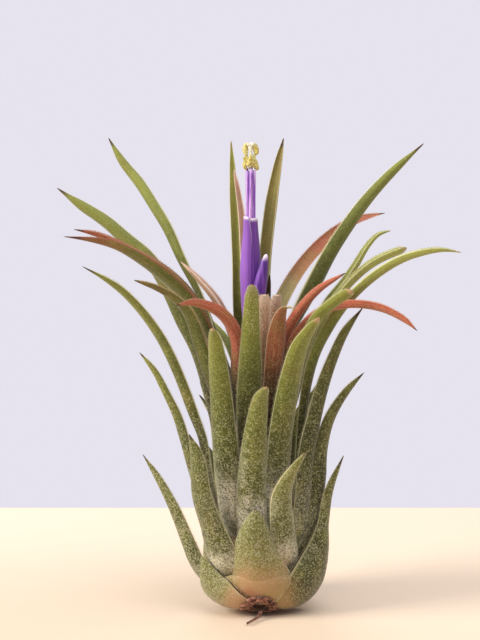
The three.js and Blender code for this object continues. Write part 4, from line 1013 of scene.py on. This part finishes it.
bpy.context.view_layer.update()
sheaths = [core] + [blades[name] for name in ("sheath_front", "sheath_left", "sheath_right")]
tuft = makeRoots()
dress(tuft, rootFinish(), "root", "roots")
print("roots made")

# a plain pale table top that ends behind the plant
stage = dict(wide=3.0, front=-2.0, back=0.087, thick=0.03)
deep = stage["back"] - stage["front"]
floor = fresh(bpy.ops.mesh.primitive_cube_add, size=1,
              location=(0, stage["front"] + deep / 2, -stage["thick"] / 2))
floor.name = "table_top"
floor.scale = (stage["wide"], deep, stage["thick"])
bpy.ops.object.transform_apply()
floorFinish = Finish("table_pale", Specular_IOR_Level=0.25)
onTable = floorFinish.place()
toRight, toBack = floorFinish.axis(onTable, 0), floorFinish.axis(onTable, 1)
grain = floorFinish.noise(onTable, 6.0)
# painted light and shade: the top is darker towards the front and left and lighter towards the
# right and back
paintedFloorLight = floorFinish.ease(toRight * 0.6 + toBack, -0.07, 0.04)
pale = floorFinish.mix(paintedFloorLight * 0.8 + grain * 0.2, tint("D6C3AC"), tint("EDDAC7"))
floor.data.materials.append(floorFinish.done(pale, 0.7))


def addLamp(name, place, aim, size, power, colour):
    light = bpy.data.lights.new(name, "AREA")
    light.shape = "DISK"
    light.size = size
    light.energy = power
    light.color = colour[:3]
    lamp = bpy.data.objects.new(name, light)
    lamp.location = place
    lamp.rotation_euler = (Vector(aim) - Vector(place)).to_track_quat("-Z", "Y").to_euler()
    bpy.context.scene.collection.objects.link(lamp)


aim = (0, 0, 0.045)
addLamp("window_left", (-0.8, -0.25, 0.5), aim, 0.5, 10.0, tint("FFF8EA"))
addLamp("window_back", (-0.2, 0.8, 0.6), aim, 0.6, 3.0, tint("F8F6FF"))
addLamp("ceiling", (0.3, -0.3, 1.0), aim, 1.2, 9.0, tint("FFFAF2"))

# the room is seen pale and lights the plant a little less brightly
world = bpy.data.worlds.new("room")
world.use_nodes = True
room = world.node_tree
sky = room.nodes["Background"]
sky.inputs["Color"].default_value = tint("DEDBE4")
sky.inputs["Strength"].default_value = 0.42
wall = room.nodes.new("ShaderNodeBackground")
wall.inputs["Color"].default_value = tint("E6E3EE")
seen = room.nodes.new("ShaderNodeLightPath")
either = room.nodes.new("ShaderNodeMixShader")
room.links.new(seen.outputs["Is Camera Ray"], either.inputs[0])
room.links.new(sky.outputs[0], either.inputs[1])
room.links.new(wall.outputs[0], either.inputs[2])
room.links.new(either.outputs[0], room.nodes["World Output"].inputs["Surface"])
bpy.context.scene.world = world

# the camera looks at the middle of the photograph's frame from a little above
view = dict(aim=(-3.6, 0.0, 58.1), away=450.0, above=8.0, tall=128.0, sensor=36.0)
cameraData = bpy.data.cameras.new("camera")
cameraData.sensor_fit = "VERTICAL"
cameraData.sensor_height = view["sensor"]
cameraData.lens = view["sensor"] * view["away"] / view["tall"]
camera = bpy.data.objects.new("camera", cameraData)
raised = math.radians(view["above"])
middle = Vector(view["aim"]) * mm
camera.location = middle + Vector((0, -math.cos(raised), math.sin(raised))) * view["away"] * mm
camera.rotation_euler = (math.radians(90) - raised, 0, 0)
bpy.context.scene.collection.objects.link(camera)
bpy.context.scene.camera = camera
bpy.context.scene.view_settings.view_transform = "Standard"
print("stage, lamps and camera made")
